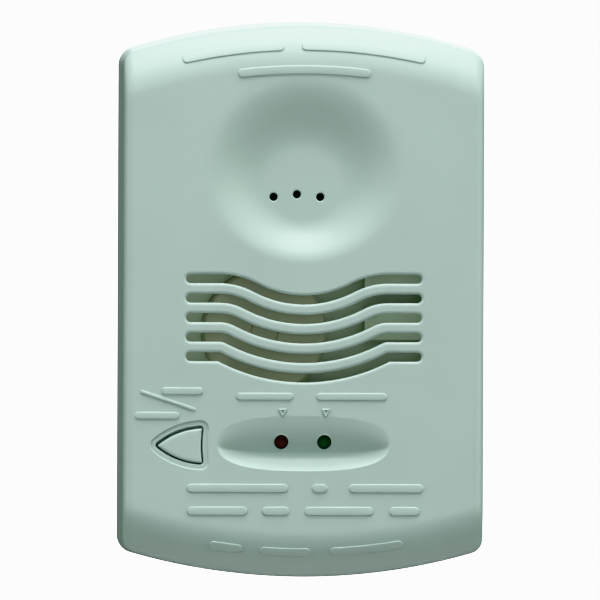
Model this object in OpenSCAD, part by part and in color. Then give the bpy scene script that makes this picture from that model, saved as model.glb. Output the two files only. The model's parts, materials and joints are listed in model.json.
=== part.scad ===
// Wall-mounted carbon monoxide detector: a head that hangs on a single-gang mounting plate.
// Millimetres. X runs to the right seen from the room, Z up, and Y from the room into the wall.
// The origin is the centre of the plate's back face, on the wall, between its two screw slots.

/* [Cover] */
// Width of the cover at its back edge
cover_w = 85; // [82:0.5:105]
// Height of the cover over its curved ends
cover_h = 129.5; // [124:0.5:158]
// Distance from the wall to the front face
cover_d = 33; // [33:0.2:42]
// Thickness of the cover's moulded wall
wall = 2.2; // [1.6:0.05:2.7]
// Radius of the arc along the top and bottom edges
end_r = 134; // [110:0.5:180]
// Width of the band that falls away at the top and bottom
end_band = 11.1; // [9:0.1:13.5]
// Steepest slope of that band, in degrees
end_slope = 32; // [20:1:40]
// Radius of the fillet along the face's long edges
edge_r = 2.6; // [1.2:0.1:4]
// Radius of the four corners seen from the front
plan_r = 2.8; // [1:0.1:6]
// Draft of the side walls, in degrees
draft = 1.2; // [0:0.1:2]
// Height of the raised marks
mark_h = 0.35; // [0.2:0.05:0.6]

/* [Sensor dish] */
// Outer radius of the dish
dish_r = 22.3; // [18:0.1:27]
// Radius of the dish's flat floor
dish_floor_r = 10.6; // [9.5:0.1:12]
// Depth of the dish
dish_depth = 3.6; // [2:0.1:4.4]
// Radius of the gas inlet holes
gas_hole_r = 1; // [0.6:0.05:1.6]
// Distance between neighbouring gas inlet holes
gas_hole_pitch = 5.35; // [4:0.05:6.4]

/* [Sounder grille] */
// Number of wavy slots
slots = 5; // [3:1:5]
// Height of one slot
slot_h = 2.1; // [1.2:0.1:3]
// Distance between neighbouring slots
slot_pitch = 4.5; // [3.5:0.1:5.4]
// Overall length of a slot
slot_l = 54.4; // [48:0.2:66]
// Drop of a slot from its straight ends to its middle
slot_sag = 4.9; // [3:0.1:6]

/* [Indicator recess] */
// Half length of the recess
scoop_half_w = 20; // [16:0.5:24]
// Half height of the recess
scoop_half_h = 6.55; // [5:0.05:8]
// Depth of the recess
scoop_depth = 3; // [2:0.1:3.6]
// Radius of the indicator lamp's dome
led_r = 1.5; // [1:0.1:1.8]
// Distance between the two lamps
led_pitch = 10; // [8:0.1:12]

/* [Test button] */
// Length of the button's opening
button_l = 11.3; // [9:0.1:13.6]
// Height of the button's opening at its straight end
button_h = 8.9; // [7:0.1:10.7]
// Bulge radius of the opening's two long edges
button_bulge_r = 16; // [13:0.5:22]
// Gap between the button and its opening
button_gap = 0.4; // [0.2:0.05:0.5]
// How far the button stands proud of the face
button_proud = 0.3; // [0:0.05:0.6]
// Travel of the button and of the switch plunger
button_travel = 1; // [0.5:0.1:1.2]

/* [Circuit board] */
// Space between the cover's inner face and the board
board_gap = 18.6; // [18.2:0.1:19]
// Thickness of the board
board_t = 1.6; // [0.8:0.1:2]
// Radius of the gas cell
cell_r = 10; // [8:0.1:12]
// Height of the gas cell over the board
cell_h = 13.8; // [11.5:0.1:14.5]
// Outer radius of the sounder
horn_r = 14.6; // [12:0.1:17.6]
// Number of wiring terminals
terminals = 6; // [4:1:6]
// Distance between neighbouring terminals
terminal_pitch = 5.08; // [5:0.01:5.5]

/* [Rear housing] */
// Thickness of the rear housing's sheet
sheet = 1.8; // [1.4:0.1:2.2]
// Gap between parts that slide or nest
fit_gap = 0.25; // [0.15:0.01:0.35]
// Radius of the housing screws' shanks
screw_r = 1.25; // [1:0.05:1.5]

/* [Mounting plate] */
// Thickness of the plate
plate_t = 2.2; // [1.6:0.1:2.7]
// How far the plate's edge stands in from the cover's edge
plate_inset = 1.5; // [0.5:0.1:4]
// Distance between the two screw slots
box_pitch = 83.3; // [83.3:0.1:83.3]
// Width of a screw slot
box_slot_w = 4.2; // [3.8:0.1:5]
// Length of a screw slot
box_slot_l = 9; // [6:0.5:11]
// Lift that frees the head from the plate's hooks
lift = 5; // [3:0.1:6]

/* [Hidden] */
$fn = 48;
eps = 0.01;
plate_gap = 0.4;                               // between the plate and the head
back_y = -(plate_t + plate_gap);               // back edge of the cover and the rear housing
face_y = -cover_d;                             // front face
skin_y = face_y + wall;                        // inner side of the front face
board_y = skin_y + board_gap;                  // front side of the board
board_back_y = board_y + board_t;              // back side of the board
arc_z = cover_h / 2 - end_r;                   // centre height of the top edge's arc
blend_r = 11;                                  // radius between the face and the sloped band
arc_steps = 6;                                 // flats along a short fillet
reach = 3 * cover_h;                           // longer than anything in the part
trim = 0.05;                                   // keeps the corner cut clear of the walls it joins

// Dish and gas cell
dish_pos = [-0.2, 30.6];                       // X and Z of the dish's centre
cell_pos = [-1.65, 24.5];                      // X and Z of the cell and of the inlet holes
mid_hole_rise = 0.5;                           // the middle hole sits a little higher
dish_floor_y = face_y + dish_depth;
dish_back_y = dish_floor_y + wall;
collar_gap = 0.3;
collar_t = 1.9;
collar_l = 6;
gasket_in_r = cell_r - 2.4;
filter_r = gasket_in_r - 0.3;
filter_t = 0.3;
cell_base_h = 2;
cell_cap_h = 2.4;
cell_front_y = board_y - cell_h;
pin_r = 0.45;
pin_gap = 0.06;

// Grille
slot_end_z = 5.45;                             // height of the first slot's straight ends
slot_valley_r = 21.9;                          // middle curve of the first slot
slot_shoulder_r = 18.6;                        // shoulder curve of the first slot
slot_spread = slot_valley_r + slot_shoulder_r;
shoulder_x = sqrt(2 * slot_spread * slot_sag - slot_sag * slot_sag);
shoulder_z = slot_end_z - slot_shoulder_r;
valley_z = slot_end_z - slot_sag + slot_valley_r;
slot_turn = atan2(slot_spread - slot_sag, shoulder_x);

// Indicator recess and lamps
scoop_z = -32.8;
led_x = -0.1;
led_z = -32.7;
led_hole_r = led_r + 0.2;
led_flange_r = led_r + 0.4;
led_flange_h = 1;
led_body_h = 4.8;
led_tip_y = face_y + scoop_depth - 0.6;
led_seat_y = led_tip_y + led_body_h + led_flange_h;
lead_r = 0.25;
lead_half_pitch = 1.27;

// Button and its switch
button_pos = [-34.7, -33.05];                  // tip of the opening
button_corner_r = 0.8;
button_guide_t = 1.3;
button_guide_l = 3.2;
button_flange_h = 1.2;
button_stem_r = 1.9;
stem_gap = 0.05;                                // between the button's stem and the plunger
switch_x = button_pos[0] + 0.56 * button_l;
switch_w = 6;
switch_h = 3.5;
plunger_r = 1.7;
plunger_h = 3.5;
plunger_foot_r = 2.1;
switch_y = board_y - switch_h;
plunger_y = switch_y - plunger_h;
dome_h = 1.3;                                  // free height of the snap dome
dome_t = 0.12;

// Sounder
horn_pos = [-9, -7.2];
horn_front_gap = 1.2;
horn_shell_t = 1.2;
horn_shell_h = 8.6;
horn_front_y = skin_y + horn_front_gap;
horn_port_r = 3.2;
horn_ledge = 1;                                // the disc's seat in the shell
piezo_r = horn_r - horn_shell_t - 0.4;
piezo_t = 0.3;
ceramic_r = piezo_r - 3.4;
ceramic_t = 0.25;
piezo_y = horn_front_y + 4.4;
horn_back_y = horn_front_y + horn_shell_h;
horn_ring_r = horn_r - horn_shell_t - 0.08;    // clamp ring's outer radius
horn_ring_w = 2.6;
horn_leg_r = horn_ring_w / 2 - 0.2;            // the legs stay inside the ring's edges
contact_r = 0.8;

// Board outline and board parts
board_half_w = cover_w / 2 - 10.5;
board_top_z = cover_h / 2 - 14.5;
board_bottom_z = -cover_h / 2 + 12;
board_corner_r = 3;
board_screw_x = board_half_w - 4;
board_screw_zs = [board_top_z - 5, board_bottom_z + 5];
post_r = 3;
relay_size = [15, 7.4, 10];                    // along X, along Z, off the board
relay_x = 22;
relay_zs = [5.6, -5.4];
terminal_z = 7;
terminal_size_z = 9;
terminal_h = 7.5;
terminal_l = (terminals + 0.15) * terminal_pitch;
terminal_back_y = board_back_y + terminal_h;
terminal_screw_r = 1.75;
terminal_screw_z = terminal_z + 1.2;
terminal_entry = 3.4;

// Rear housing
rim_l = 5;
rim_t = 1.6;
bay_half_w = 19;
bay_low_z = -13;
bay_high_z = 14;
bay_t = 1.2;
bay_floor_y = board_back_y + 1;
boss_r = 3.3;
boss_x = cover_w / 2 - wall - boss_r - 1.1;
boss_z = cover_h / 2 - 17;
head_r = 2.7;
head_h = 1.8;
seat_r = head_r + 0.3;
seat_y = back_y - 2.9;
seat_floor = 1.2;
screw_l = 9;
pocket_w = 10;
pocket_depth = 3;
pocket_roof = 1;
pocket_l = box_slot_l + lift + 2.4;

// Hooks
hook_x = 27;
hook_zs = [28, -37];
hook_w = 8;
hook_stem_h = 3;
hook_lip_h = lift - 0.5;
hook_lip_t = 1.7;
hook_rest_gap = 0.05;
hook_lip_y = back_y - sheet - 0.3;
entry_w = 40;
entry_low_z = -14;
entry_high_z = 15;

// ---- Shapes that many pieces use ----

// Points along an arc around c, from angle a to angle b
function arc(c, r, a, b, n = arc_steps) =
    [for (i = [0:n]) let (t = a + (b - a) * i / n) [c[0] + r * cos(t), c[1] + r * sin(t)]];

// The same points on the other side of X = 0, in the opposite order
function mirrored(pts) = [for (i = [len(pts) - 1:-1:0]) [-pts[i][0], pts[i][1]]];

// A rectangle with round corners
function round_rect(x0, x1, z0, z1, r) = concat(
    arc([x1 - r, z1 - r], r, 0, 90), arc([x0 + r, z1 - r], r, 90, 180),
    arc([x0 + r, z0 + r], r, 180, 270), arc([x1 - r, z0 + r], r, 270, 360));

// A cylinder along Y from y0 to y1, at X and Z
module rod(x, z, y0, y1, r) {
    translate([x, y0, z]) rotate([-90, 0, 0]) cylinder(r = r, h = y1 - y0);
}

// A box between two depths, centred at X and Z
module block(x, z, w, h, y0, y1) {
    translate([x - w / 2, y0, z - h / 2]) cube([w, y1 - y0, h]);
}

// A plan outline in X and Z, extruded from depth y0 to depth y1
module plate_of(pts, y0, y1) {
    translate([0, y1, 0]) rotate([90, 0, 0]) linear_extrude(y1 - y0) polygon(pts);
}

// A profile of radius and depth, turned about the Y direction through X and Z
module turned(x, z, pts) {
    translate([x, 0, z]) rotate([-90, 0, 0]) rotate_extrude() polygon(pts);
}

module both_sides() {
    children();
    mirror([1, 0, 0]) children();
}

// ---- The cover's outer form, at any inset ----

// Plan of the corners: inside it, the side walls and the end arcs decide the outline
function corner_quarter(inset) =
    let (hw = cover_w / 2 - inset + trim, big = end_r - inset + trim, r = max(plan_r - inset, 0.3),
         cx = hw - r, cz = arc_z + sqrt(pow(big - r, 2) - cx * cx), a = atan2(cz - arc_z, cx),
         tip = [big * cos(a), arc_z + big * sin(a)])
    concat(arc([cx, cz], r, 0, a), [[0, tip[1] + tip[0] * cos(a) / sin(a)]]);
function corner_plan(inset) =
    let (q = corner_quarter(inset), top = concat(q, [for (i = [len(q) - 2:-1:0]) [-q[i][0], q[i][1]]]))
    concat(top, [for (i = [len(top) - 1:-1:0]) [top[i][0], -top[i][1]]]);

// Half width of the head at a depth
function half_w(y, inset) = cover_w / 2 - inset - (back_y - y) * tan(draft);

module side_slab(inset) {
    r = max(edge_r - inset, 0.4);
    f = face_y + inset;
    right = concat([[half_w(0, inset), 0]], arc([half_w(f + r, inset) - r, f + r], r, 0, -90));
    linear_extrude(reach, center = true) polygon(concat(right, mirrored(right)));
}

// One curved end: a disc about the arc's centre, whose rim carries the sloped band
module end_disc(inset) {
    c = [end_r - end_band, cover_d - blend_r];
    r = blend_r - inset;
    rim = end_r - inset - (cover_d + back_y) * tan(draft);
    blend = arc(c, r, 90, 90 - end_slope);
    foot = blend[len(blend) - 1];
    shoulder = [rim, foot[1] - (rim - foot[0]) * tan(end_slope)];
    translate([0, 0, arc_z]) rotate([90, 0, 0]) rotate_extrude($fn = 180) polygon(concat(
        [[0, 0], [end_r - inset, 0], [end_r - inset, -back_y], shoulder],
        [for (i = [len(blend) - 1:-1:0]) blend[i]], [[0, cover_d - inset]]));
}

// The whole head as one block, from the wall to the face
module head_block(inset) {
    intersection() {
        side_slab(inset);
        end_disc(inset);
        mirror([0, 0, 1]) end_disc(inset);
        plate_of(corner_plan(inset), face_y - 1, 1);
    }
}

// The head's plan outline as a straight slab between two depths
module outline_slab(inset, y0, y1) {
    intersection() {
        plate_of(corner_plan(inset), y0, y1);
        rod(0, arc_z, y0, y1, end_r - inset);
        rod(0, -arc_z, y0, y1, end_r - inset);
    }
}

// ---- Openings and relief of the cover ----

// Grille edges are parallel curves: e is the distance below the first slot's middle line
function slot_edge(e) =
    let (z = slot_end_z - e, r = slot_valley_r + e, drop = valley_z - z,
         soft = e < slot_shoulder_r, a = soft ? slot_turn : acos(sqrt(r * r - drop * drop) / r),
         right = soft ? arc([shoulder_x, shoulder_z], slot_shoulder_r - e, 180 - slot_turn, 90, 5) : [])
    concat(mirrored(right), arc([0, valley_z], r, 180 + a, 360 - a, 16), right);
function slot_outline(i) =
    let (e = i * slot_pitch, z = slot_end_z - e, c = slot_l / 2 - slot_h / 2, r = slot_h / 2,
         low = slot_edge(e + r), high = slot_edge(e - r))
    concat(arc([-c, z], r, 90, 270), low, arc([c, z], r, -90, 90),
        [for (k = [len(high) - 1:-1:0]) high[k]]);

// The button's outline, grown by g: two bulged edges from a tip on the left to a straight right end
function button_outline(g) =
    let (l = button_l, half = button_h / 2, chord = norm([l, half]),
         dip = sqrt(pow(button_bulge_r, 2) - chord * chord / 4),
         c = [l / 2 + dip * half / chord, half / 2 - dip * l / chord], r = button_bulge_r + g,
         end_x = l + g, tip_x = c[0] - sqrt(r * r - c[1] * c[1]),
         end_z = c[1] + sqrt(r * r - pow(end_x - c[0], 2)),
         top = arc(c, r, atan2(-c[1], tip_x - c[0]), atan2(end_z - c[1], end_x - c[0]), 10))
    [for (p = concat(top, [for (i = [len(top) - 1:-1:1]) [top[i][0], -top[i][1]]]))
        [p[0] + button_pos[0], p[1] + button_pos[1]]];

// Dish profile: an S of two equal arcs, radius and depth behind the face, grown by g
function dish_profile(g) =
    let (w = dish_r - dish_floor_r, d = dish_depth, r = (w * w + d * d) / (4 * d),
         a = asin(w / 2 / r))
    concat([[0, face_y - 1], [dish_r, face_y - 1]],
        arc([dish_r, face_y + r], r - g, -90, -90 - a),
        [for (p = arc([dish_floor_r, dish_floor_y - r], r + g, 90 - a, 90)) p],
        [[0, dish_floor_y + g]]);

module dish_tool(g) {
    turned(dish_pos[0], dish_pos[1], dish_profile(g));
}

// The recess is a segment of a ring that lies across the face
module scoop_tool(g) {
    tube_r = (pow(scoop_half_h, 2) + pow(scoop_depth, 2)) / (2 * scoop_depth);
    ring_r = (pow(scoop_half_w, 2) + pow(scoop_depth, 2)) / (2 * scoop_depth);
    translate([0, face_y + scoop_depth - ring_r, scoop_z])
        rotate_extrude($fn = 120) intersection() {
            translate([ring_r - tube_r, 0]) circle(r = tube_r + g, $fn = 96);
            translate([0, -tube_r - g - 1]) square([ring_r + g + 1, 2 * (tube_r + g + 1)]);
        }
}

// Raised marks in plan. A curved bar follows one of the end arcs.
module curved_bar(x0, x1, depth, h) {
    r = end_r - depth;
    a0 = asin(x0 / r);
    a1 = asin(x1 / r);
    plate_of([for (p = concat(arc([0, arc_z], r + h / 2, 90 - a0, 90 - a1, 8),
                              arc([0, arc_z], r - h / 2, 90 - a1, 90 - a0, 8))) p],
             face_y - 1, skin_y);
}
module straight_bar(x0, x1, z, h) {
    plate_of(round_rect(x0, x1, z - h / 2, z + h / 2, h / 2 - eps), face_y - 1, skin_y);
}
module pointer(x, z) {
    plate_of([[x - 1.05, z + 0.95], [x + 1.05, z + 0.95], [x, z - 0.95]], face_y - 1, skin_y);
}

bar_big = 2.2;
bar_small = 1.8;
straight_marks = [ // left end, right end, height
    [-33.2, -23.2, -20.8, bar_small], [-39.2, -29, -26.5, bar_small],
    [-16, -2.8, -22, bar_small], [3, 19.4, -22, bar_small],
    [-27, -4, -43.2, bar_big], [1.8, 5.4, -43.2, bar_big], [10.4, 27.4, -43.2, bar_big],
    [-27, -13.2, -48.4, bar_big], [-9.5, -3.2, -48.4, bar_big], [0.6, 16.2, -48.4, bar_big],
    [19.4, 27, -48.4, bar_big]];
top_marks = [[-28.4, -5.6, 5.4, bar_big], [-0.9, 27.9, 5.4, bar_big], [-15.3, 15, 10.8, bar_big]];
bottom_marks = [[-21.8, -13.9, 6.6, bar_big], [-9.5, 1.8, 6.6, bar_big], [6.2, 23, 6.6, bar_big]];

module marks() {
    intersection() {
        union() {
            for (m = straight_marks) straight_bar(m[0], m[1], m[2], m[3]);
            for (m = top_marks) curved_bar(m[0], m[1], m[2], m[3]);
            mirror([0, 0, 1]) for (m = bottom_marks) curved_bar(m[0], m[1], m[2], m[3]);
            for (x = [-1, 1]) pointer(x * led_pitch / 2 + led_x, scoop_z + scoop_half_h + 1.1);
            plate_of([[-37.6, -20.9], [-37.4, -20.3], [-25, -24.5], [-25.2, -25.1]], face_y - 1, skin_y);
        }
        head_block(-mark_h);
    }
}

// ---- Front cover ----

module screw_boss(x, z) {
    rod(x, z, face_y, seat_y - seat_floor - 0.05, boss_r);
}
module board_post(x, z) {
    rod(x, z, face_y, board_y, post_r);
}

module front_cover() {
    color([0.78, 0.86, 0.84]) difference() {
        union() {
            difference() {
                head_block(0);
                head_block(wall);
            }
            intersection() {
                union() {
                    dish_tool(wall);
                    scoop_tool(wall);
                    both_sides() for (s = [1, -1]) screw_boss(boss_x, s * boss_z);
                    both_sides() for (z = board_screw_zs) board_post(board_screw_x, z);
                    rod(cell_pos[0], cell_pos[1], face_y, dish_back_y + collar_l, cell_r + collar_gap + collar_t);
                    plate_of(button_outline(button_guide_t), face_y, skin_y + button_guide_l);
                }
                head_block(0.3);
            }
            marks();
        }
        translate([0, back_y, 0]) block(0, 0, reach, reach, 0, 10);
        dish_tool(0);
        scoop_tool(0);
        for (i = [0:slots - 1]) plate_of(slot_outline(i), face_y - 1, skin_y + 1);
        for (i = [-1:1])
            rod(cell_pos[0] + i * gas_hole_pitch, cell_pos[1] + (i == 0 ? mid_hole_rise : 0),
                face_y, dish_back_y + 1, gas_hole_r);
        rod(cell_pos[0], cell_pos[1], dish_back_y, dish_back_y + collar_l + 1, cell_r + collar_gap);
        for (s = [-1, 1]) rod(led_x + s * led_pitch / 2, led_z, face_y, skin_y + 6, led_hole_r);
        plate_of(button_outline(0), face_y - 1, skin_y + button_guide_l + 1);
        both_sides() for (s = [1, -1]) rod(boss_x, s * boss_z, seat_y - seat_floor - screw_l, 0, screw_r + 0.05);
        both_sides() for (z = board_screw_zs) rod(board_screw_x, z, board_y - 6, board_y + 1, screw_r + 0.05);
    }
}

// ---- Rear housing and its screws ----

module rear_housing() {
    rim = wall + fit_gap;
    color([0.74, 0.8, 0.78]) difference() {
        union() {
            difference() {
                intersection() {
                    head_block(rim);
                    block(0, 0, reach, reach, back_y - sheet - rim_l, back_y);
                }
                intersection() {
                    head_block(rim + rim_t);
                    block(0, 0, reach, reach, back_y - sheet - rim_l - 1, back_y - sheet);
                }
            }
            block(0, (bay_low_z + bay_high_z) / 2, 2 * (bay_half_w + bay_t),
                  bay_high_z - bay_low_z + 2 * bay_t, bay_floor_y, back_y);
            both_sides() for (s = [1, -1]) rod(boss_x, s * boss_z, seat_y - seat_floor, back_y, seat_r + 1);
            for (s = [1, -1])
                block(0, s * box_pitch / 2 + lift / 2 * -1, pocket_w + 2 * pocket_roof, pocket_l + 2 * pocket_roof,
                      back_y - pocket_depth - pocket_roof, back_y);
        }
        block(0, (bay_low_z + bay_high_z) / 2, 2 * bay_half_w, bay_high_z - bay_low_z,
              bay_floor_y + bay_t, 1);
        block(0, terminal_z, terminal_l + 0.6, terminal_size_z + 0.6, bay_floor_y - 1, 1);
        both_sides() for (s = [1, -1]) {
            rod(boss_x, s * boss_z, seat_y, 1, seat_r);
            rod(boss_x, s * boss_z, seat_y - 3, 1, screw_r + 0.25);
            rod(boss_x, s * boss_z, back_y - sheet - rim_l - 1, seat_y - seat_floor, boss_r + fit_gap);
        }
        for (s = [1, -1])
            block(0, s * box_pitch / 2 + lift / 2 * -1, pocket_w, pocket_l, back_y - pocket_depth, 1);
        both_sides() for (z = hook_zs)
            translate([hook_x - hook_w / 2 - 0.4, back_y - sheet - 1, z - hook_stem_h - lift - 0.3])
                cube([hook_w + 0.8, sheet + 4, hook_stem_h + lift + 0.3 + hook_rest_gap]);
        both_sides() for (z = [board_screw_zs[0]]) rod(board_screw_x, z - 9, back_y - sheet - 1, 1, 0.9);
    }
}

// Pan-head screw with a cross recess, head towards the wall
module screw(x, z, head_y, length) {
    difference() {
        union() {
            rod(x, z, head_y - length, head_y, screw_r);
            rod(x, z, head_y, head_y + head_h, head_r);
        }
        block(x, z, 0.7, 3, head_y + head_h - 1, head_y + head_h + 1);
        block(x, z, 3, 0.7, head_y + head_h - 1, head_y + head_h + 1);
    }
}

module housing_screws() {
    color("silver") both_sides() for (s = [1, -1]) screw(boss_x, s * boss_z, seat_y, screw_l);
}

module board_screws() {
    color("silver") both_sides() for (z = board_screw_zs) screw(board_screw_x, z, board_back_y, 5.5);
}

// ---- Circuit board and gas cell ----

cell_pin_spots = [[-5, -3], [5, -3], [0, 5.5]];
horn_leg_spots = [for (a = [30, 150, 270]) (horn_ring_r - horn_ring_w / 2) * [cos(a), sin(a)]];
horn_contact_spots = [[-6, 3], [6, 3], [0, -7]];
terminal_xs = [for (i = [0:terminals - 1]) (i - (terminals - 1) / 2) * terminal_pitch];
led_xs = [led_x - led_pitch / 2, led_x + led_pitch / 2];

module circuit_board() {
    color([0.16, 0.36, 0.24]) difference() {
        plate_of(round_rect(-board_half_w, board_half_w, board_bottom_z, board_top_z, board_corner_r),
                 board_y, board_back_y);
        both_sides() for (z = board_screw_zs) rod(board_screw_x, z, board_y - 1, board_back_y + 1, screw_r + 0.2);
        for (p = cell_pin_spots)
            rod(cell_pos[0] + p[0], cell_pos[1] + p[1], board_y - 1, board_back_y + 1, pin_r + pin_gap);
        for (x = terminal_xs) rod(x, terminal_z, board_y - 1, board_back_y + 1, pin_r + pin_gap);
        for (x = led_xs, s = [-1, 1])
            rod(x + s * lead_half_pitch, led_z, board_y - 1, board_back_y + 1, lead_r + pin_gap);
    }
}

module cell_base() {
    color([0.15, 0.15, 0.16]) difference() {
        rod(cell_pos[0], cell_pos[1], board_y - cell_base_h, board_y, cell_r - 0.6);
        for (p = cell_pin_spots)
            rod(cell_pos[0] + p[0], cell_pos[1] + p[1], board_y - cell_base_h - 1, board_y + 1, pin_r + pin_gap);
    }
}

module cell_pins() {
    color("gold") for (p = cell_pin_spots)
        rod(cell_pos[0] + p[0], cell_pos[1] + p[1], board_y - cell_base_h, board_back_y + 1.5, pin_r);
}

module cell_can() {
    y1 = board_y - cell_base_h;
    y0 = cell_front_y + cell_cap_h;
    color([0.72, 0.72, 0.74]) turned(cell_pos[0], cell_pos[1],
        [[0, y0], [cell_r - 0.8, y0], [cell_r, y0 + 0.8], [cell_r, y1 - 0.8], [cell_r - 0.8, y1], [0, y1]]);
}

module cell_cap() {
    y1 = cell_front_y + cell_cap_h;
    color([0.86, 0.84, 0.76]) turned(cell_pos[0], cell_pos[1],
        [[1.4, cell_front_y + 0.6], [4.5, cell_front_y + 0.6], [5, cell_front_y], [cell_r - 1.6, cell_front_y],
         [cell_r - 1.2, cell_front_y + 0.5], [cell_r - 1.2, y1], [0, y1], [0, y1 - 0.8], [1.4, y1 - 0.8]]);
}

module cell_gasket() {
    color([0.2, 0.2, 0.22]) difference() {
        rod(cell_pos[0], cell_pos[1], dish_back_y, cell_front_y, cell_r - 1.3);
        rod(cell_pos[0], cell_pos[1], dish_back_y - 1, cell_front_y + 1, gasket_in_r);
    }
}

module inlet_filter() {
    color("white") rod(cell_pos[0], cell_pos[1], dish_back_y, dish_back_y + filter_t, filter_r);
}

// ---- Sounder ----

module horn_shell() {
    r = horn_r;
    t = horn_shell_t;
    color([0.3, 0.27, 0.23]) turned(horn_pos[0], horn_pos[1],
        [[horn_port_r, horn_front_y], [r - 0.8, horn_front_y], [r, horn_front_y + 0.8], [r, horn_back_y],
         [r - t, horn_back_y], [r - t, piezo_y], [r - t - horn_ledge, piezo_y],
         [r - t - horn_ledge, horn_front_y + t],
         [horn_port_r + 1, horn_front_y + t], [horn_port_r + 1, horn_front_y + 2.6],
         [horn_port_r, horn_front_y + 2.6]]);
}

module piezo_plate() {
    color([0.8, 0.64, 0.28]) rod(horn_pos[0], horn_pos[1], piezo_y, piezo_y + piezo_t, piezo_r);
}

module piezo_ceramic() {
    color([0.9, 0.88, 0.82])
        rod(horn_pos[0], horn_pos[1], piezo_y + piezo_t, piezo_y + piezo_t + ceramic_t, ceramic_r);
}

// Ring that clamps the sounder disc in its shell and stands on the board on three legs
module horn_ring() {
    y0 = piezo_y + piezo_t;
    color([0.3, 0.27, 0.23]) union() {
        difference() {
            rod(horn_pos[0], horn_pos[1], y0, horn_back_y, horn_ring_r);
            rod(horn_pos[0], horn_pos[1], y0 - 1, horn_back_y + 1, horn_ring_r - horn_ring_w);
        }
        for (p = horn_leg_spots)
            rod(horn_pos[0] + p[0], horn_pos[1] + p[1], horn_back_y - 0.5, board_y, horn_leg_r);
    }
}

// Sprung contact pins from the board to the sounder disc
module horn_contacts() {
    color("gold") for (p = horn_contact_spots) {
        rod(horn_pos[0] + p[0], horn_pos[1] + p[1], board_y - 5, board_y, contact_r + 0.3);
        rod(horn_pos[0] + p[0], horn_pos[1] + p[1], piezo_y + piezo_t + ceramic_t, board_y - 5 + eps, contact_r - 0.3);
    }
}

// ---- Indicator lamps ----

module lamp(x) {
    base = led_seat_y - led_flange_h;
    difference() {
        union() {
            rod(x, led_z, led_tip_y + led_r, base, led_r);
            translate([x, led_tip_y + led_r, led_z]) sphere(r = led_r);
            rod(x, led_z, base, led_seat_y, led_flange_r);
        }
        for (s = [-1, 1]) rod(x + s * lead_half_pitch * 0.6, led_z, base - 1, led_seat_y + 1, lead_r + eps);
    }
}
module alarm_lamp() {
    color([0.55, 0.06, 0.08]) lamp(led_xs[0]);
}
module normal_lamp() {
    color([0.05, 0.4, 0.1]) lamp(led_xs[1]);
}
module lamp_leads() {
    color("silver") for (x = led_xs, s = [-1, 1]) {
        rod(x + s * lead_half_pitch * 0.6, led_z, led_seat_y - led_flange_h - 1, led_seat_y + 0.5, lead_r);
        rod(x + s * lead_half_pitch, led_z, led_seat_y + 0.3, board_back_y + 1.2, lead_r);
        block(x + s * lead_half_pitch * 0.8, led_z, lead_half_pitch * 0.4 + 2 * lead_r, 2 * lead_r,
              led_seat_y + 0.1, led_seat_y + 0.5);
    }
}
module lamp_spacers() {
    color("white") for (x = led_xs) difference() {
        rod(x, led_z, led_seat_y + 0.6, board_y, led_flange_r + 0.7);
        for (s = [-1, 1]) rod(x + s * lead_half_pitch, led_z, led_seat_y, board_y + 1, lead_r + pin_gap);
    }
}

// ---- Test button and its switch ----

module test_button() {
    flange_y = skin_y + button_guide_l + 0.1;
    color([0.8, 0.87, 0.86]) union() {
        plate_of(button_outline(-button_gap), face_y - button_proud, flange_y + button_flange_h);
        plate_of(button_outline(0.7), flange_y, flange_y + button_flange_h);
        rod(switch_x, button_pos[1], flange_y, plunger_y - stem_gap, button_stem_r);
    }
}

module switch_body() {
    color([0.12, 0.12, 0.13]) difference() {
        block(switch_x, button_pos[1], switch_w, switch_w, switch_y + 0.3, board_y);
        rod(switch_x, button_pos[1], switch_y, switch_y + 1 + dome_h, plunger_foot_r + 0.3);
    }
}

module switch_frame() {
    color("silver") difference() {
        block(switch_x, button_pos[1], switch_w, switch_w, switch_y, switch_y + 0.3);
        rod(switch_x, button_pos[1], switch_y - 1, switch_y + 1, plunger_r + 0.1);
    }
}

module switch_plunger() {
    color([0.1, 0.1, 0.1]) union() {
        rod(switch_x, button_pos[1], plunger_y, switch_y + 0.35, plunger_r);
        rod(switch_x, button_pos[1], switch_y + 0.35, switch_y + 1, plunger_foot_r);
    }
}

// Thin snap dome under the plunger, which it pushes back
module switch_dome() {
    y0 = switch_y + 1;
    h = dome_h - dome_t;
    r = (pow(plunger_foot_r, 2) + pow(h, 2)) / (2 * h);
    a = asin(plunger_foot_r / r);
    color("silver") turned(switch_x, button_pos[1],
        concat(arc([0, y0 + r], r, -90, -90 + a), arc([0, y0 + r], r - dome_t, -90 + a, -90)));
}

// ---- Wiring terminals, on the back of the board ----

module terminal_block() {
    color([0.1, 0.34, 0.2]) difference() {
        block(0, terminal_z, terminal_l, terminal_size_z, board_back_y, terminal_back_y);
        for (x = terminal_xs) {
            rod(x, terminal_screw_z, board_back_y + 4.6, terminal_back_y + 1, terminal_screw_r + 0.15);
            translate([x - terminal_entry / 2, board_back_y + 0.9, terminal_z - terminal_size_z / 2 - 1])
                cube([terminal_entry, terminal_entry + 0.3, terminal_size_z - 1]);
            rod(x, terminal_screw_z, board_back_y + 3, terminal_back_y, 1.1);
            rod(x, terminal_z, board_back_y - 1, board_back_y + 1.2, pin_r + pin_gap);
        }
    }
}

module terminal_screws() {
    color("silver") for (x = terminal_xs) difference() {
        union() {
            rod(x, terminal_screw_z, board_back_y + 4.8, terminal_back_y - 1, terminal_screw_r);
            rod(x, terminal_screw_z, board_back_y + 3.2, board_back_y + 5, 1);
        }
        block(x, terminal_screw_z, 0.6, 2 * terminal_screw_r + 1, terminal_back_y - 1.8, terminal_back_y);
    }
}

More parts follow.
